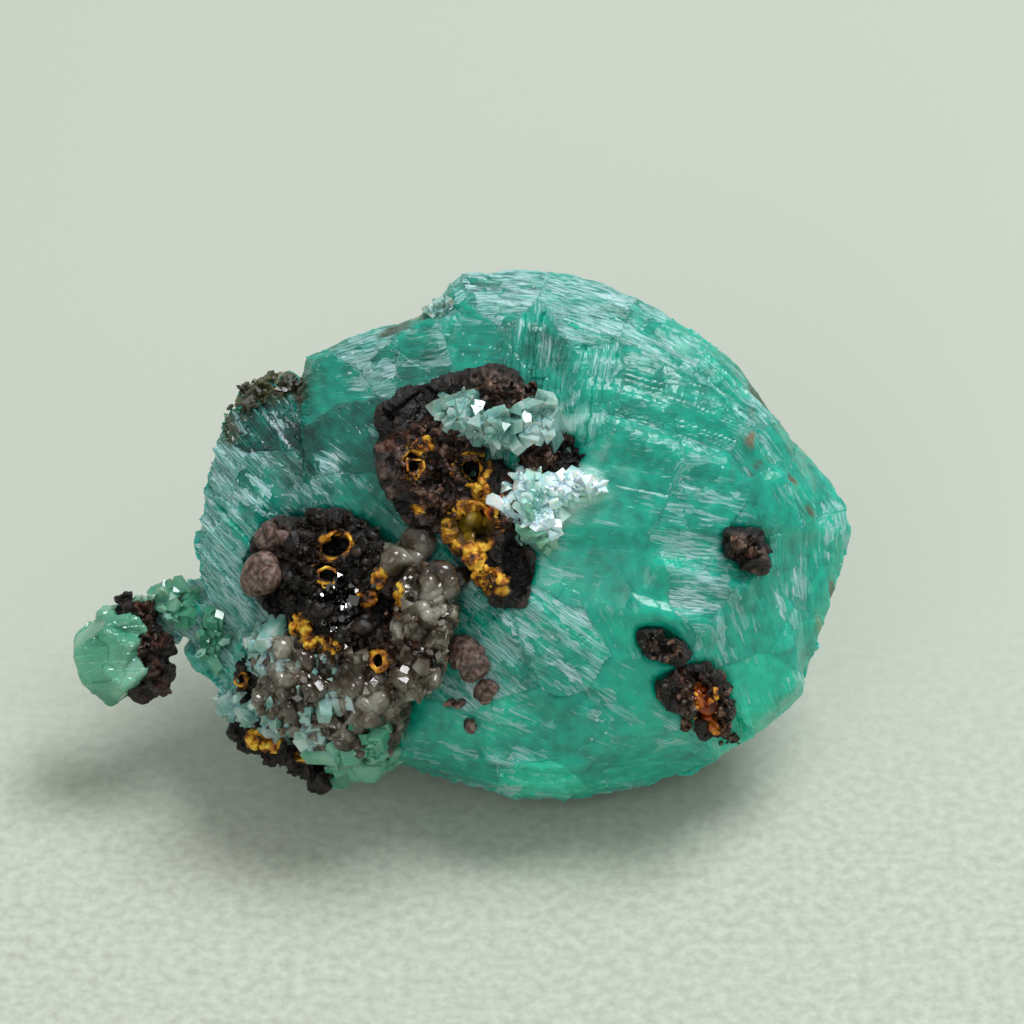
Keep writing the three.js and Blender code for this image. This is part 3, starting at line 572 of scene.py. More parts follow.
# Stains: the kind, its greatest strength and its colours.
STAIN_LOOKS = [
    ("milk", 0.85, [(0.35, "#5fc4ae"), (0.5, "#a5dccf"), (0.65, "#d9f1ea"), (0.8, "#f3fbf8")]),
    ("olive", 0.95, [(0.35, "#1a1a0e"), (0.5, "#34351c"), (0.62, "#4b4a2b"), (0.75, "#6d6a45")]),
    ("cream", 0.75, [(0.35, "#8a6a3c"), (0.5, "#b7ab86"), (0.65, "#d5dcc6"), (0.8, "#e8efe2")]),
    ("rust", 0.8, [(0.35, "#2e120b"), (0.5, "#6b301d"), (0.65, "#8f5f45"), (0.8, "#b08a6c")]),
]
rough_edge = math_node(adamite, "MULTIPLY_ADD", patch, 2.6, -0.45)
for kind, strength, stops in STAIN_LOOKS:
    stained = math_node(adamite, "MULTIPLY", attribute_of(adamite, kind), rough_edge)
    stained = add_node(adamite, "Clamp", {"Value": stained, "Max": strength}).outputs[0]
    surface = mix_colours(adamite, stained, surface, ramp(adamite, patch, stops))

# Specks: dust and tiny chips are white.
cells = add_node(adamite, "TexVoronoi", {"Vector": object_place, "Scale": 1500.0})
chips = ranged(adamite, cells.outputs["Distance"], 0.09, 0.05, 0.0, 0.6)
chips = math_node(adamite, "MULTIPLY", chips, ranged(adamite, patch, 0.5, 0.56))
surface = mix_colours(adamite, chips, surface, colour("#e6f2ee"))
link(adamite, surface, shader.inputs["Base Color"])
link(adamite, ranged(adamite, sheen_share, 0.0, 1.0, 0.26, 0.6), shader.inputs["Roughness"])

line_weight = math_node(adamite, "MULTIPLY_ADD", sheen_value, 0.8, 0.12)
line_height = math_node(adamite, "MULTIPLY_ADD", hairs, 0.35, streaks)
line_height = math_node(adamite, "MULTIPLY", line_height, line_weight)
flake_height = math_node(adamite, "MULTIPLY_ADD", flake[0], 0.12, line_height)
bump_surface(adamite, shader, flake_height, 0.13, 0.9)
ADAMITE = {
    "IOR": 1.72,
    "Specular IOR Level": 0.35,
    "Subsurface Weight": 0.75,
    "Subsurface Radius": (0.25, 1.0, 0.9),
    "Subsurface Scale": 1.6 * MM,
}
set_inputs(shader, ADAMITE)


def finish_piece(piece, material, slot, *nodes):
    """Gives the piece its material and hides the solids that it takes the place of. The slot is not used.
    """
    piece.data.materials.clear()
    piece.data.materials.append(material)
    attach(piece, "root")
    if nodes:
        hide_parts(*nodes)


finish_piece(mass, adamite, "adamite", "cuproadamite_mass")

# %% [markdown]
# The limonite is a dark, rough iron oxide that lined old cavities. Its skins start from the solids
# and get a deep, gritty relief. A list of marks works on them. A hole is pushed in and painted near
# black inside as painted shade, a rim is a raised ring, and the other marks are paint: ochre, orange,
# olive, grey dust and black gloss. A mark is an ellipse on the face: what it is, the pixel in its
# middle, its half width and half height in pixels, its turn in degrees and its depth, or a rim's
# height, in millimetres.

# %% Marks on the nests
PAINTS = {"rim": ["ochre"], "orange": ["ochre", "rust"], "olive": ["ochre", "dull"]}
PAINTED = ("ochre", "rust", "dull", "hole", "gloss", "grey")
GRIT_VOXEL = 0.05  # millimetres between the points of a gritty skin
TUBE_DEPTH = 0.7  # millimetres from which a hole is a tube, with an even edge
MARKS = [
    ("gloss", 418, 408, 32, 14, 24, 0.40),
    ("hole", 472, 470, 12, 12, 0, 0.9),
    ("rim", 472, 470, 16, 15, 0, 0.15),
    ("ochre", 483, 497, 9, 20, 6, 0),
    ("hole", 415, 462, 8, 10, 0, 0.7),
    ("ochre", 423, 446, 15, 8, 14, 0),
    ("rim", 415, 464, 10, 12, 0, 0.1),
    ("hole", 432, 510, 5, 5, 0, 0.3),
    ("ochre", 424, 508, 10, 5, 0, 0),
    ("olive", 473, 527, 25, 21, 0, 0.35),
    ("rim", 473, 527, 27, 23, 0, 0.1),
    ("ochre", 474, 556, 15, 14, 40, 0),
    ("ochre", 490, 577, 24, 10, -40, 0),
    ("orange", 500, 508, 14, 9, 20, 0),
    ("hole", 514, 566, 12, 30, 8, 0.7),
    ("hole", 440, 478, 9, 9, 0, 0.35),
    ("hole", 566, 452, 16, 16, 0, 0.5),
    ("grey", 500, 390, 36, 22, 0, 0),
    ("grey", 440, 500, 26, 20, 0, 0),
    ("grey", 400, 462, 26, 36, 0, 0),
    ("grey", 424, 524, 30, 14, 0, 0),
    ("hole", 337, 546, 14, 12, 0, 0.8),
    ("rim", 337, 546, 17, 14, 0, 0.12),
    ("hole", 329, 571, 9, 7, 0, 0.6),
    ("rim", 329, 573, 12, 9, 0, 0.08),
    ("hole", 290, 596, 22, 22, 0, 0.5),
    ("hole", 386, 612, 12, 22, 10, 0.6),
    ("ochre", 381, 573, 6, 13, -10, 0),
    ("ochre", 303, 620, 10, 14, 30, 0),
    ("ochre", 325, 641, 20, 9, -14, 0),
    ("ochre", 366, 600, 14, 7, 20, 0),
    ("ochre", 404, 604, 6, 26, 12, 0),
    ("hole", 380, 658, 6, 7, 0, 0.5),
    ("ochre", 378, 661, 20, 13, 28, 0),
    ("hole", 690, 680, 7, 9, 0, 0.4),
    ("orange", 704, 706, 9, 26, 24, 0.3),
    ("ochre", 264, 741, 18, 9, -28, 0),
    ("hole", 318, 768, 7, 6, 0, 0.4),
    ("ochre", 300, 757, 8, 4, -30, 0),
    ("rim", 243, 680, 7, 7, 0, 0.1),
    ("hole", 243, 680, 4, 4, 0, 0.4),
]


def rough_skin(name, nodes, relief, size, seed, grow):
    """A gritty skin over small solids. relief, size and grow are in millimetres."""
    piece = skin(name, nodes, GRIT_VOXEL * 2.4, 2, GRIT_VOXEL * (1))
    places, normals = to_face(places_of(piece.data)), normals_of(piece.data) @ TURN
    knobs = rough_noise(places, size, seed, 3)
    grit = np.abs(rough_noise(places, 0.42, seed + 5, 3))
    # Marks stay on the front: off the surface that faces back, and off what lies deep.
    front = smooth_step(normals[:, 2], -0.2, 0.3) * smooth_step(places[:, 2], -4.5, -3.5)
    down, raised, paints = np.zeros(len(places)), np.zeros(len(places)), {}
    for kind, px, py, wide, high, turn, depth in MARKS:
        tube = kind == "rim" or depth >= TUBE_DEPTH
        reach = mark_reach(places[:, :2], px, py, wide, high, turn, 0.12 if tube else 0.45)
        if kind == "rim":
            share = smooth_step(np.abs(reach - 1), 0.24, 0.08) * front
            raised = np.maximum(raised, share * depth)
        else:
            share = smooth_step(reach, 1.05, 0.8) * front
            down = np.maximum(down, share * depth)
        for paint in PAINTS.get(kind, [kind]):
            paints[paint] = np.maximum(paints.get(paint, 0), share)
    height = grow + relief * (0.9 * knobs + 1.6 * (0.25 - grit)) * (1 - 0.9 * paints["gloss"])
    moved = places + normals * height[:, None] + np.outer(raised - down, (0, 0, 1))
    move_points(piece.data, to_frame(moved))
    for paint in PAINTED:
        store(piece.data, paint, paints[paint])
    store(piece.data, "height", knobs - 2 * grit)
    return piece


# %% Limonite
limonite, shader = new_material("rough_limonite")
paint = {name: attribute_of(limonite, name) for name in PAINTED}
object_place = object_place_of(limonite)
grit = noise_at(limonite, object_place, 5200.0, 6.0)
patch = noise_at(limonite, object_place, 1500.0, 6.0)
large = noise_at(limonite, object_place, 420.0, 2.0)
shade = math_node(limonite, "MULTIPLY_ADD", attribute_of(limonite, "height"), 0.10, patch)
shade = math_node(limonite, "MULTIPLY_ADD", paint["grey"], 0.16, shade)
shade = math_node(limonite, "MULTIPLY_ADD", grit, 0.3, shade)
LIMONITE_BROWN = [(0.5, "#070504"), (0.66, "#140f0c"), (0.78, "#3b2c25"), (0.95, "#76635a")]
RUSTY_BROWN = [(0.6, "#140804"), (0.8, "#5d2a12")]
OCHRE_YELLOW = [(0.38, "#241304"), (0.47, "#7d4a08"), (0.55, "#cf9212"), (0.7, "#f0c441")]
RUST_ORANGE = [(0.38, "#160804"), (0.47, "#7a2608"), (0.56, "#d0640e"), (0.7, "#eda024")]
OLIVE_FILM = [(0.38, "#1c1606"), (0.5, "#5e490f"), (0.62, "#86691a"), (0.8, "#ab8c30")]
earthy = ramp(limonite, patch, OCHRE_YELLOW)
earthy = mix_colours(limonite, paint["rust"], earthy, ramp(limonite, patch, RUST_ORANGE))
earthy = mix_colours(limonite, paint["dull"], earthy, ramp(limonite, patch, OLIVE_FILM))
rusty = ranged(limonite, large, 0.56, 0.66, 0.0, 0.6)
dark, rusty_dark = ramp(limonite, shade, LIMONITE_BROWN), ramp(limonite, shade, RUSTY_BROWN)
dark = mix_colours(limonite, rusty, dark, rusty_dark)
nest_colour = mix_colours(limonite, paint["ochre"], dark, earthy)
# Holes are painted near black inside: painted shade.
nest_colour = mix_colours(limonite, paint["hole"], nest_colour, colour("#050302"))
nest_colour = mix_colours(limonite, paint["gloss"], nest_colour, colour("#080605"))
link(limonite, nest_colour, shader.inputs["Base Color"])
dulled = math_node(limonite, "MULTIPLY_ADD", paint["gloss"], -0.7, 1.0)
roughness = math_node(limonite, "MULTIPLY", ranged(limonite, grit, 0.35, 0.6, 0.28, 0.8), dulled)
link(limonite, roughness, shader.inputs["Roughness"])
bump_surface(limonite, shader, math_node(limonite, "MULTIPLY_ADD", patch, 1.5, grit), 0.16)

# The ochre tubes and crumbs start as part of the nest that they stand in.
NESTS = {
    "limonite_upper_nest": ["ochre_upper_tube", "ochre_left_tube", "ochre_bowl", "ochre_gut"],
    "limonite_lower_nest": ["ochre_lower_tube", "ochre_lower_ring", "ochre_vein"],
    "limonite_branch": ["ochre_core"],
    "limonite_rim": ["ochre_rim"],
}
LIMONITE = sorted(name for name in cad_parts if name.startswith("limonite"))
nests = []
for i, node in enumerate(LIMONITE):
    nodes = [node, *NESTS.get(node, [])]
    nest = "nest" in node
    relief, size = (0.3, 1.1) if nest else (0.5, 0.8)
    grow = -0.2 if "back" in node else 0.15 if nest else 0.05
    name = node.replace("limonite", "iron_oxide")
    piece = rough_skin(name, nodes, relief, size, 300 + 20 * i, grow)
    finish_piece(piece, limonite, "limonite", *nodes)
    nests.append(piece)
print("limonite:", sum(len(piece.data.polygons) for piece in nests), "faces")

# %% [markdown]
# The grey crust is a thin botryoidal film that settled on small crystals. Iron clouds it brown and
# grey, and a little light goes through it.

# %% Crust
crust, shader = new_material("botryoidal_crust")
spots = noise_at(crust, object_place_of(crust), 1100.0, 5.0)
shade = math_node(crust, "MULTIPLY_ADD", attribute_of(crust, "height"), 0.25, spots)
CRUST_GREY = [(0.3, "#1c1812"), (0.48, "#443a2f"), (0.62, "#6e6656"), (0.82, "#979988")]
link(crust, ramp(crust, shade, CRUST_GREY), shader.inputs["Base Color"])
bump_surface(crust, shader, spots, 0.1, 0.8)
set_inputs(shader, {"Roughness": 0.28, "Subsurface Weight": 0.3, "Subsurface Scale": 0.5 * MM})
crust_piece = rough_skin("grey_botryoidal", ["grey_crust"], 0.22, 0.7, 600, 0.15)
finish_piece(crust_piece, crust, "crust", "grey_crust")
nests.append(crust_piece)

# %% [markdown]
# Many small crystals and beads sit on the face. Each group is scattered over ellipses given by
# pixels. A ray from the front finds the surface under each one, so it stands on what carries it.
# A crystal is a short taper of three to five sides that leans its own way. A lump is a ball that
# noise makes uneven.

# %% Ground to grow on
ground = bmesh.new()
for piece in [mass, *nests]:
    ground.from_mesh(piece.data)
ground_tree = BVHTree.FromBMesh(ground)
ground.free()
TOWARDS_FACE = Vector(TURN @ (0, 0, -1))
MIRROR_LEAN = math.radians(20)  # a flat tip with this lean mirrors the light above to the front
LEAN = 50  # the most that a crystal leans, in degrees
SINK = 0.45  # share of a crystal's height that is in the ground
FEW = 20  # so few lumps are large, and their balls get more faces

# Tube rings: px, py, radius in pixels, thickness in millimetres
RINGS = [
    (472, 470, 11, 0.07), (415, 466, 8.5, 0.06), (431, 511, 5, 0.05), (337, 546, 15, 0.05),
    (331, 575, 9, 0.05), (381, 659, 9, 0.11), (243, 681, 6, 0.06), (473, 527, 23, 0.06),
]


def in_tube(px, py):
    """Whether a pixel lies in the mouth of a tube, which stays open. The last ring is the bowl's."""
    return any(math.hypot(px - x, py - y) < radius for x, y, radius, _ in RINGS[:-1])


def ground_under(x, y):
    """The point of the surface under a place of the face, in the frame, or None."""
    start = Vector(to_frame((x, y, 30.0)))
    return ground_tree.ray_cast(start, TOWARDS_FACE)[0]


def grow_on(name, spots, count, sizes, seed, shape, share):
    """
    Scatters crystals or lumps over spots, each a pixel and two half widths in pixels. share says
    how many of the crystals stand so that their tips catch the light, or how uneven lumps are.
    """
    up = share if shape == "crystal" else 0.0
    shapes = bmesh.new()
    draws = np.random.default_rng(seed)
    areas = np.array([wide * high for _, _, wide, high in spots], float)
    for _ in range(count):
        px, py, wide, high = spots[draws.choice(len(spots), p=areas / areas.sum())]
        turn, out = draws.uniform(0, 2 * math.pi), math.sqrt(draws.uniform())
        spot = px + wide * out * math.cos(turn), py + high * out * math.sin(turn)
        x, y = on_face(*spot)
        size = sizes[0] + (sizes[1] - sizes[0]) * draws.uniform() ** 1.8  # mostly small ones
        upright = draws.uniform() < up
        tips = [math.radians(draws.uniform(-LEAN, LEAN)) * (0.25 if upright else 1) for _ in range(2)]
        turned = Euler([*tips, draws.uniform(0, 6.3)]).to_matrix().to_4x4()
        stretch = Vector((draws.uniform(0.5, 1.2), draws.uniform(0.5, 1.2), draws.uniform(0.8, 1.8)))
        taper, sides = draws.uniform(0.05, 0.5), int(draws.integers(3, 6))
        place = ground_under(x, y)
        if place is None or in_tube(*spot):
            continue
        facing = Matrix.Rotation(MIRROR_LEAN if upright else FACE_LEAN, 4, "X")
        scale = Matrix.Diagonal((*(stretch * size * MM), 1))
        lift = Matrix.Translation((0, 0, 0.5 - SINK))
        matrix = Matrix.Translation(place) @ facing @ turned @ scale @ lift
        if shape == "lump":
            finer = 2 if count > FEW else 3
            bmesh.ops.create_icosphere(shapes, subdivisions=finer, radius=0.5, matrix=matrix)
        else:
            bmesh.ops.create_cone(
                shapes, cap_ends=True, segments=sides,
                radius1=0.6, radius2=taper, depth=1.0, matrix=matrix,
            )
    mesh = bpy.data.meshes.new(name)
    shapes.to_mesh(mesh)
    shapes.free()
    if shape == "lump":
        mesh.polygons.foreach_set("use_smooth", [True] * len(mesh.polygons))
        places = to_face(places_of(mesh))
        bulge = share * rough_noise(places, 0.5, seed, 3)
        move_points(mesh, to_frame(places + normals_of(mesh) @ TURN * bulge[:, None]))
    print(name, len(mesh.polygons), "faces")
    return mesh_object(name, mesh)


# %% [markdown]
# The pale crystals grew last, over everything else. They are clear to milky, so their material lets
# light through by transmission. The beads are clouded by iron, mauve to brown. Each mineral's
# colours are places and hex values of a ramp.

# %% Pale crystals and beads


def stone_material(name, scale, bump, inputs, stops):
    """A mineral whose colour runs over stops with noise of a scale, which may bump it too."""
    material, shader = new_material(name)
    noise = noise_at(material, object_place_of(material), scale, 4.0)
    link(material, ramp(material, noise, stops), shader.inputs["Base Color"])
    if bump:
        bump_surface(material, shader, noise, bump)
    set_inputs(shader, inputs)
    return material


# Clear crystals have smooth grown faces. The white druse is clouded by its many small ones.
CLEAR = {
    "Roughness": 0.08, "IOR": 1.72, "Transmission Weight": 0.35,
    "Subsurface Weight": 0.5, "Subsurface Scale": 0.6 * MM,
}
CLEAR_STOPS = [(0.3, "#57a194"), (0.5, "#9fd0c6"), (0.66, "#eefaf6")]
pale = stone_material("clear_pale_adamite", 900.0, 0.0, CLEAR, CLEAR_STOPS)
WHITE = {"Roughness": 0.2, "IOR": 1.72, "Subsurface Weight": 0.6, "Subsurface Scale": 0.5 * MM}
WHITE_STOPS = [(0.3, "#6fbcae"), (0.46, "#b5dfd6"), (0.62, "#ffffff")]
white = stone_material("white_druse", 900.0, 0.0, WHITE, WHITE_STOPS)
MINT = {
    "Roughness": 0.12, "IOR": 1.72, "Transmission Weight": 0.4,
    "Subsurface Weight": 0.5, "Subsurface Scale": 0.8 * MM,
}
MINT_STOPS = [(0.3, "#2f9a78"), (0.5, "#6cc4a2"), (0.7, "#b9ead4")]
mint = stone_material("mint_adamite", 420.0, 0.06, MINT, MINT_STOPS)

# Iron from the nests filmed, clouded or stained the crystals near them.
FILMED = {"Roughness": 0.12, "IOR": 1.65, "Transmission Weight": 0.6}
FILMED_STOPS = [(0.36, "#33261c"), (0.5, "#7d6e5c"), (0.64, "#cbc8b8")]
filmed = stone_material("iron_filmed_crystals", 900.0, 0.04, FILMED, FILMED_STOPS)
CLOUDED = {"Roughness": 0.5, "Subsurface Weight": 0.3, "Subsurface Scale": 0.4 * MM}
CLOUDED_STOPS = [(0.36, "#33241f"), (0.5, "#604a42"), (0.64, "#836c62")]
clouded = stone_material("clouded_beads", 5000.0, 0.04, CLOUDED, CLOUDED_STOPS)
FRINGE = {
    "Roughness": 0.35, "IOR": 1.72, "Subsurface Weight": 0.2, "Subsurface Scale": 0.4 * MM,
}
FRINGE_STOPS = [(0.34, "#14150d"), (0.5, "#35381f"), (0.66, "#5f6a42")]
fringe = stone_material("olive_stained_adamite", 900.0, 0.0, FRINGE, FRINGE_STOPS)

# Iron oxides dried from a gel: glassy amber, a thin olive film and earthy gold.
AMBER = {
    "Roughness": 0.12, "Transmission Weight": 0.15,
    "Subsurface Weight": 0.3, "Subsurface Scale": 0.3 * MM,
}
AMBER_STOPS = [(0.36, "#4a1404"), (0.5, "#a33f06"), (0.66, "#e08a1e")]
amber = stone_material("amber_iron_oxide", 1300.0, 0.0, AMBER, AMBER_STOPS)
FILM_STOPS = [(0.36, "#2a1f08"), (0.5, "#6e5813"), (0.64, "#a98d2b")]
film = stone_material("olive_film", 1500.0, 0.04, {"Roughness": 0.15}, FILM_STOPS)
EARTHY = {"Roughness": 0.6, "Subsurface Weight": 0.15, "Subsurface Scale": 0.2 * MM}
GOLDEN_STOPS = [(0.38, "#2e1604"), (0.48, "#a55f0a"), (0.56, "#d99a18"), (0.66, "#f4cb4a")]
golden = stone_material("golden_ochre", 2600.0, 0.16, EARTHY, GOLDEN_STOPS)

# Goethite crystals are mirror-smooth. The knobs and the grit around them are weathered.
JET_STOPS = [(0.3, "#050404"), (0.7, "#120f0d")]
jet = stone_material("black_goethite", 900.0, 0.0, {"Roughness": 0.06, "IOR": 2.4}, JET_STOPS)
KNOBS = {"Roughness": 0.45, "Specular IOR Level": 0.3}
GRIT_STOPS = [(0.36, "#0c0806"), (0.48, "#2b1c15"), (0.56, "#55382a"), (0.68, "#8c7568")]
rusty_grit = stone_material("rusty_grit", 2200.0, 0.1, KNOBS, GRIT_STOPS)
KNOB_STOPS = [(0.34, "#060403"), (0.55, "#17110d"), (0.7, "#3a2c24")]
limonite_knobs = stone_material("limonite_knobs", 2600.0, 0.1, KNOBS, KNOB_STOPS)

# name, material, slot, nodes, spots, count, sizes in millimetres, shape, share upright or uneven
GROUPS = [
    ("pale_upper", pale, "pale", ["pale_crystals_upper"],
     [(460, 410, 18, 18), (500, 430, 40, 13), (538, 420, 18, 24)], 180, (0.2, 1.0), "crystal", 0.2),
    ("white_side", white, "pale", ["pale_crystals_side"],
     [(528, 500, 26, 28), (568, 488, 30, 13), (545, 520, 16, 14)], 300, (0.16, 0.75), "crystal", 0.2),
    ("pale_left", pale, "pale", ["pale_crystals_left"],
     [(262, 650, 20, 24), (236, 705, 12, 12)], 60, (0.3, 0.95), "crystal", 0.25),
    ("pale_corner", pale, "pale", ["pale_crystals_corner"],
     [(262, 716, 22, 14), (300, 730, 26, 20)], 90, (0.2, 0.8), "crystal", 0.25),
    ("clear_in_crust", pale, "pale", [], [(308, 688, 44, 34)], 60, (0.25, 0.8), "crystal", 0.25),
    ("top_druse", pale, "pale", [], [(434, 308, 18, 9)], 40, (0.2, 0.7), "crystal", 0.2),
    ("bridge_crystals", mint, "pale", [], [(176, 606, 18, 20), (150, 596, 18, 8), (212, 640, 12, 26)],
     90, (0.25, 0.9), "crystal", 0.15),
    ("olive_fringe", fringe, "adamite", [], [(264, 384, 42, 12), (214, 404, 18, 16), (238, 398, 30, 12)],
     320, (0.12, 0.42), "crystal", 0.15),
    ("olive_film", film, "ochre", [], [(473, 527, 15, 12)], 16, (0.6, 1.0), "lump", 0.06),
    ("mint_corner", mint, "pale", [], [(350, 758, 32, 11), (375, 735, 14, 20)],
     55, (0.35, 0.85), "crystal", 0.1),
    ("crust_lumps", filmed, "crust", [], [(325, 690, 64, 40), (290, 655, 26, 18), (424, 630, 18, 56)],
     110, (0.3, 0.9), "lump", 0.25),
    ("crust_grains", filmed, "crust", [], [(325, 690, 66, 44), (420, 630, 26, 66), (440, 590, 16, 14)],
     620, (0.15, 0.7), "crystal", 0.4),
    ("dark_grains", rusty_grit, "crust", [], [(400, 645, 22, 40), (300, 720, 40, 16)],
     160, (0.12, 0.5), "crystal", 0.3),
    ("mint_side", mint, "pale", [], [(536, 532, 14, 18)], 20, (0.4, 1.0), "crystal", 0.2),
    ("crust_lumps_right", filmed, "crust", [], [(405, 556, 16, 12), (442, 578, 20, 14)],
     10, (0.9, 1.5), "lump", 0.1),
    ("mauve_pod_low", clouded, "crust", [], [(266, 572, 6, 14)], 8, (0.9, 1.25), "lump", 0.05),
    ("mauve_pod_high", clouded, "crust", [], [(280, 538, 10, 3)], 5, (1.1, 1.5), "lump", 0.05),
    ("brown_beads", clouded, "crust", ["crust_bead_1"], [(468, 660, 10, 16)], 9, (0.8, 1.2), "lump", 0.1),
    ("brown_beads_low", clouded, "crust", ["crust_bead_2"], [(460, 700, 10, 4), (486, 688, 8, 8)],
     8, (0.5, 0.9), "lump", 0.1),
    ("brown_bead_last", clouded, "crust", ["crust_bead_3"], [(472, 724, 6, 2)],
     3, (0.4, 0.6), "lump", 0.1),
    ("yellow_lumps", filmed, "crust", [], [(356, 740, 16, 12)], 8, (0.7, 1.1), "lump", 0.1),
    ("black_knobs", limonite_knobs, "limonite", [],
     [(335, 520, 34, 8), (368, 560, 14, 30), (290, 580, 26, 24), (320, 600, 20, 12), (360, 630, 24, 10)],
     90, (0.25, 0.6), "lump", 0.3),
    ("black_grit", limonite_knobs, "limonite", [],
     [(335, 522, 36, 10), (370, 560, 16, 32), (290, 585, 30, 28), (355, 630, 36, 14), (320, 560, 30, 34)],
     420, (0.1, 0.4), "crystal", 0.3),
    ("brown_grit", rusty_grit, "limonite", [],
     [(438, 462, 38, 38), (505, 396, 34, 14), (538, 458, 20, 18), (440, 505, 22, 16), (510, 515, 12, 18),
      (742, 548, 16, 13), (660, 645, 20, 12), (684, 700, 7, 34), (724, 708, 6, 32), (732, 742, 12, 6),
      (666, 694, 10, 8), (140, 640, 14, 32)],
     900, (0.08, 0.36), "crystal", 0.3),
    ("golden_crumbs", golden, "ochre", [],
     [(303, 624, 7, 12), (326, 644, 20, 7), (366, 598, 12, 6), (404, 604, 4, 22), (381, 573, 4, 10)],
     300, (0.1, 0.36), "lump", 0.25),
    ("golden_gut", golden, "ochre", [],
     [(490, 577, 20, 8), (474, 554, 10, 8), (483, 494, 5, 14), (425, 446, 12, 5), (505, 505, 10, 8)],
     300, (0.1, 0.36), "lump", 0.25),
    ("amber_core", amber, "ochre", [], [(697, 692, 6, 10), (705, 708, 6, 12), (712, 723, 5, 9)],
     60, (0.16, 0.45), "lump", 0.12),
    ("golden_edge", golden, "ochre", [], [(694, 706, 1, 16), (714, 700, 1, 14)],
     30, (0.08, 0.2), "lump", 0.1),
    ("golden_rim", golden, "ochre", [], [(264, 741, 16, 6), (378, 668, 14, 5)],
     46, (0.2, 0.6), "lump", 0.2),
    ("black_crystals", jet, "limonite", [], [(342, 608, 20, 28)], 70, (0.24, 0.6), "crystal", 0.9),
]
for i, (name, material, slot, nodes, spots, count, sizes, shape, share) in enumerate(GROUPS):
    piece = grow_on(name, spots, count, sizes, 20 + i, shape, share)
    finish_piece(piece, material, slot, *nodes)

# %% [markdown]
# The limonite tubes end in thin rings of ochre. Each ring is a small circle spun once around the
# tube's axis and then made uneven. A ring is its middle pixel, its radius in pixels and its
# thickness in millimetres.

# %% Tube rings
RING_SIDES, RING_STEPS = 8, 36
RING_UNEVEN = 0.2  # millimetres
for i, (px, py, radius, thick) in enumerate(RINGS):
    ring = bmesh.new()
    place = ground_under(*on_face(px + radius, py)) or ground_under(*on_face(px, py))
    level = to_face(np.array(place))[2]
    x, y = on_face(px, py)
    turn_out = Matrix.Rotation(math.radians(90), 4, "X") @ Matrix.Scale(MM, 4)
    made = bmesh.ops.create_circle(ring, segments=RING_SIDES, radius=thick, matrix=turn_out)
    bmesh.ops.translate(ring, verts=made["verts"], vec=(radius * PIXEL * MM, 0, 0))
    bmesh.ops.spin(
        ring, geom=ring.verts[:] + ring.edges[:], cent=(0, 0, 0), axis=(0, 0, 1),
        angle=2 * math.pi, steps=RING_STEPS, use_merge=True, use_duplicate=False,
    )
    bmesh.ops.recalc_face_normals(ring, faces=ring.faces)
    mesh = bpy.data.meshes.new(f"ring_{i}")
    ring.to_mesh(mesh)
    ring.free()
    mesh.polygons.foreach_set("use_smooth", [True] * len(mesh.polygons))
    places = places_of(mesh) / MM + (x, y, level)
    seeds = (700 + i, 720 + i, 740 + i)
    wander = np.column_stack([rough_noise(places, 0.5, seed, 3) for seed in seeds])
    move_points(mesh, to_frame(places + RING_UNEVEN * wander))
    finish_piece(mesh_object(f"ochre_ring_{i}", mesh), golden, "ochre")

# %% [markdown]
# The small fan at the left is the same copper adamite, but thin enough to be mint green. The large
# crystals at the lower edge are alike.

# %% Fan and base crystals


def cleaved_skin(name, node, relief, size, seed):
    """A skin with flat facets over a solid."""
    piece = skin(name, [node], 0.07, 0, 0.05)
    places, normals = to_face(places_of(piece.data)), normals_of(piece.data) @ TURN
    flat = facets(places[:, 0] + 0.5 * places[:, 2], places[:, 1] - 0.5 * places[:, 2], size, seed)
    lines = blades(places[:, 0], places[:, 1], 0.3, 1.6, seed + 9)
    height = relief * flat + 0.05 * lines + 0.1
    move_points(piece.data, to_frame(places + normals * height[:, None]))
    return piece


for i, node in enumerate(("pale_fan_crystal", "pale_crystals_base")):
    piece = cleaved_skin(node.replace("pale", "mint"), node, 0.08, 0.9, 900 + 20 * i)
    finish_piece(piece, mint, "pale", node)

# %% [markdown]
# The floor is pale green-grey card. Its fibres show near the front and blur into one tone behind.

# %% Floor
bpy.ops.mesh.primitive_plane_add(size=2.0)
floor = bpy.context.object
floor.name = "card_floor"
card, shader = new_material("felted_card")
object_place = object_place_of(card)
CARD_TONES = [(0.3, "#a9afa2"), (0.5, "#b5bcae"), (0.7, "#c0c7ba")]
felt = ramp(card, noise_at(card, object_place, 2400.0, 8.0), CARD_TONES)
depth = add_node(card, "SeparateXYZ", {"Vector": object_place}).outputs["Y"]
near = ranged(card, depth, 0.008, -0.008)
surface = mix_colours(card, near, colour("#b6bdb0"), felt)
link(card, surface, shader.inputs["Base Color"])
shader.inputs["Roughness"].default_value = 0.9
floor.data.materials.append(card)

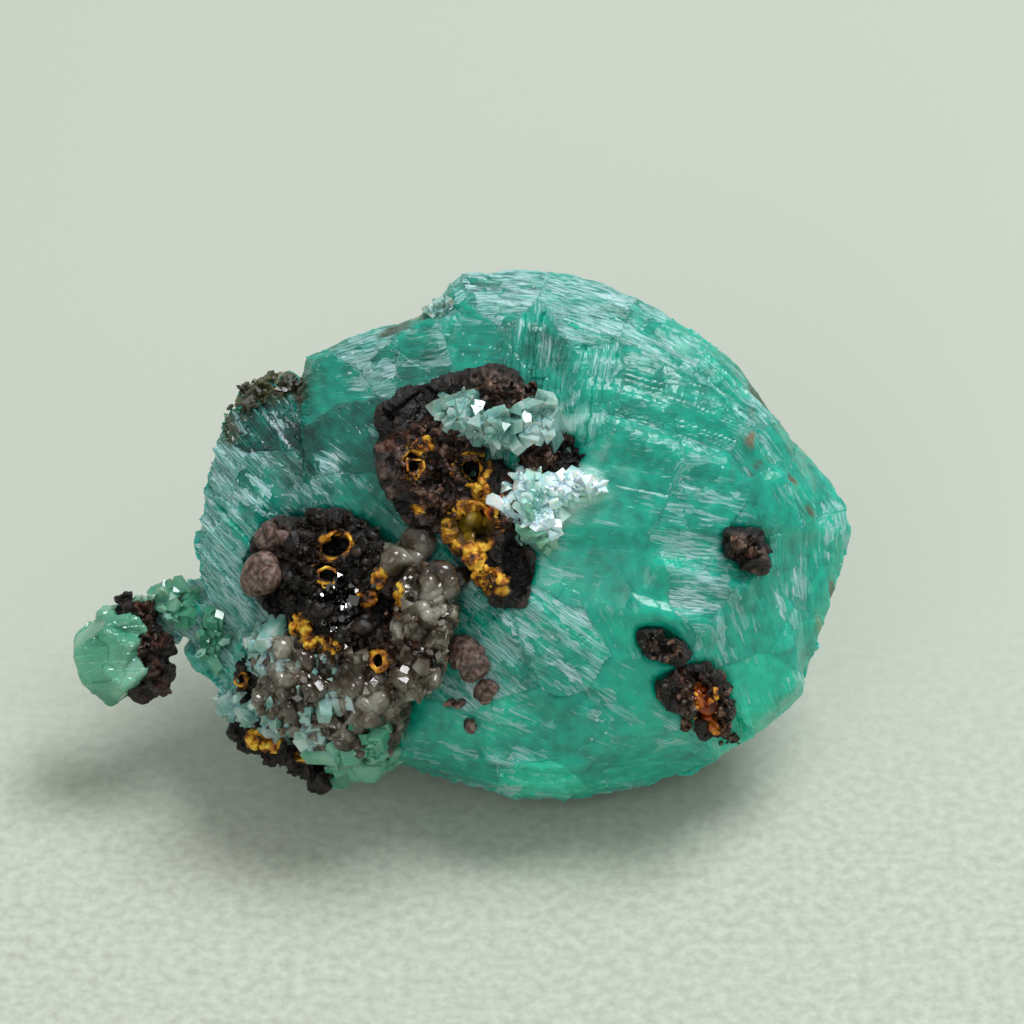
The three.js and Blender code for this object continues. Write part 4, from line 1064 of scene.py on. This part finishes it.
# %% [markdown]
# The camera looks straight at the leaned face through a long lens, from 40 degrees above the floor.
# A large soft light hangs above, a little behind and to the right, as in a light tent.

# %% Camera and lights
bpy.context.scene.view_settings.view_transform = "Standard"
VIEW_DISTANCE = 260.0  # millimetres from the face's zero
FACE_RISE = 1.5  # millimetres that the middle of the face stands out from its zero
FRAME_PIXELS = 1024
SENSOR = 36
AIM_HEIGHT = 6  # millimetres over the floor that the lights are turned to
SKY_STRENGTH = 0.54
camera_data = bpy.data.cameras.new("camera")
camera = bpy.data.objects.new("camera", camera_data)
collection.objects.link(camera)
middle = on_face(FRAME_PIXELS / 2, FRAME_PIXELS / 2)
camera.location = to_frame((middle[0], middle[1], VIEW_DISTANCE))
camera.rotation_euler = Euler((FACE_LEAN, 0, 0))
camera_data.sensor_width = SENSOR
camera_data.sensor_fit = "HORIZONTAL"
camera_data.lens = SENSOR * (VIEW_DISTANCE - FACE_RISE) / (FRAME_PIXELS * PIXEL)
camera_data.clip_start = 0.01
bpy.context.scene.camera = camera


def soft_light(name, place, size, power, hex_value):
    """A square light at a place in the frame in millimetres, turned to the specimen."""
    data = bpy.data.lights.new(name, "AREA")
    data.size = size * MM
    data.energy = power
    data.color = colour(hex_value)[:3]
    light = bpy.data.objects.new(name, data)
    collection.objects.link(light)
    light.location = Vector(place) * MM
    towards = Vector((0, 0, AIM_HEIGHT * MM)) - light.location
    light.rotation_euler = towards.to_track_quat("-Z", "Y").to_euler()


soft_light("tent_top", (120, 70, 340), 190, 1.2, "#fbfcff")
soft_light("tent_front", (-60, -160, 120), 120, 0.08, "#ffffff")
world = bpy.data.worlds.new("studio")
world.use_nodes = True
sky = world.node_tree.nodes["Background"]
set_inputs(sky, {"Color": colour("#eceeea"), "Strength": SKY_STRENGTH})
bpy.context.scene.world = world

# %% Sizes
drawn = [thing for thing in bpy.context.scene.objects if thing.type == "MESH" and not thing.hide_render]
triangles = [sum(len(face.vertices) - 2 for face in thing.data.polygons) for thing in drawn]
print("triangles:", sum(triangles), "in all, and", max(triangles), "in the largest piece")
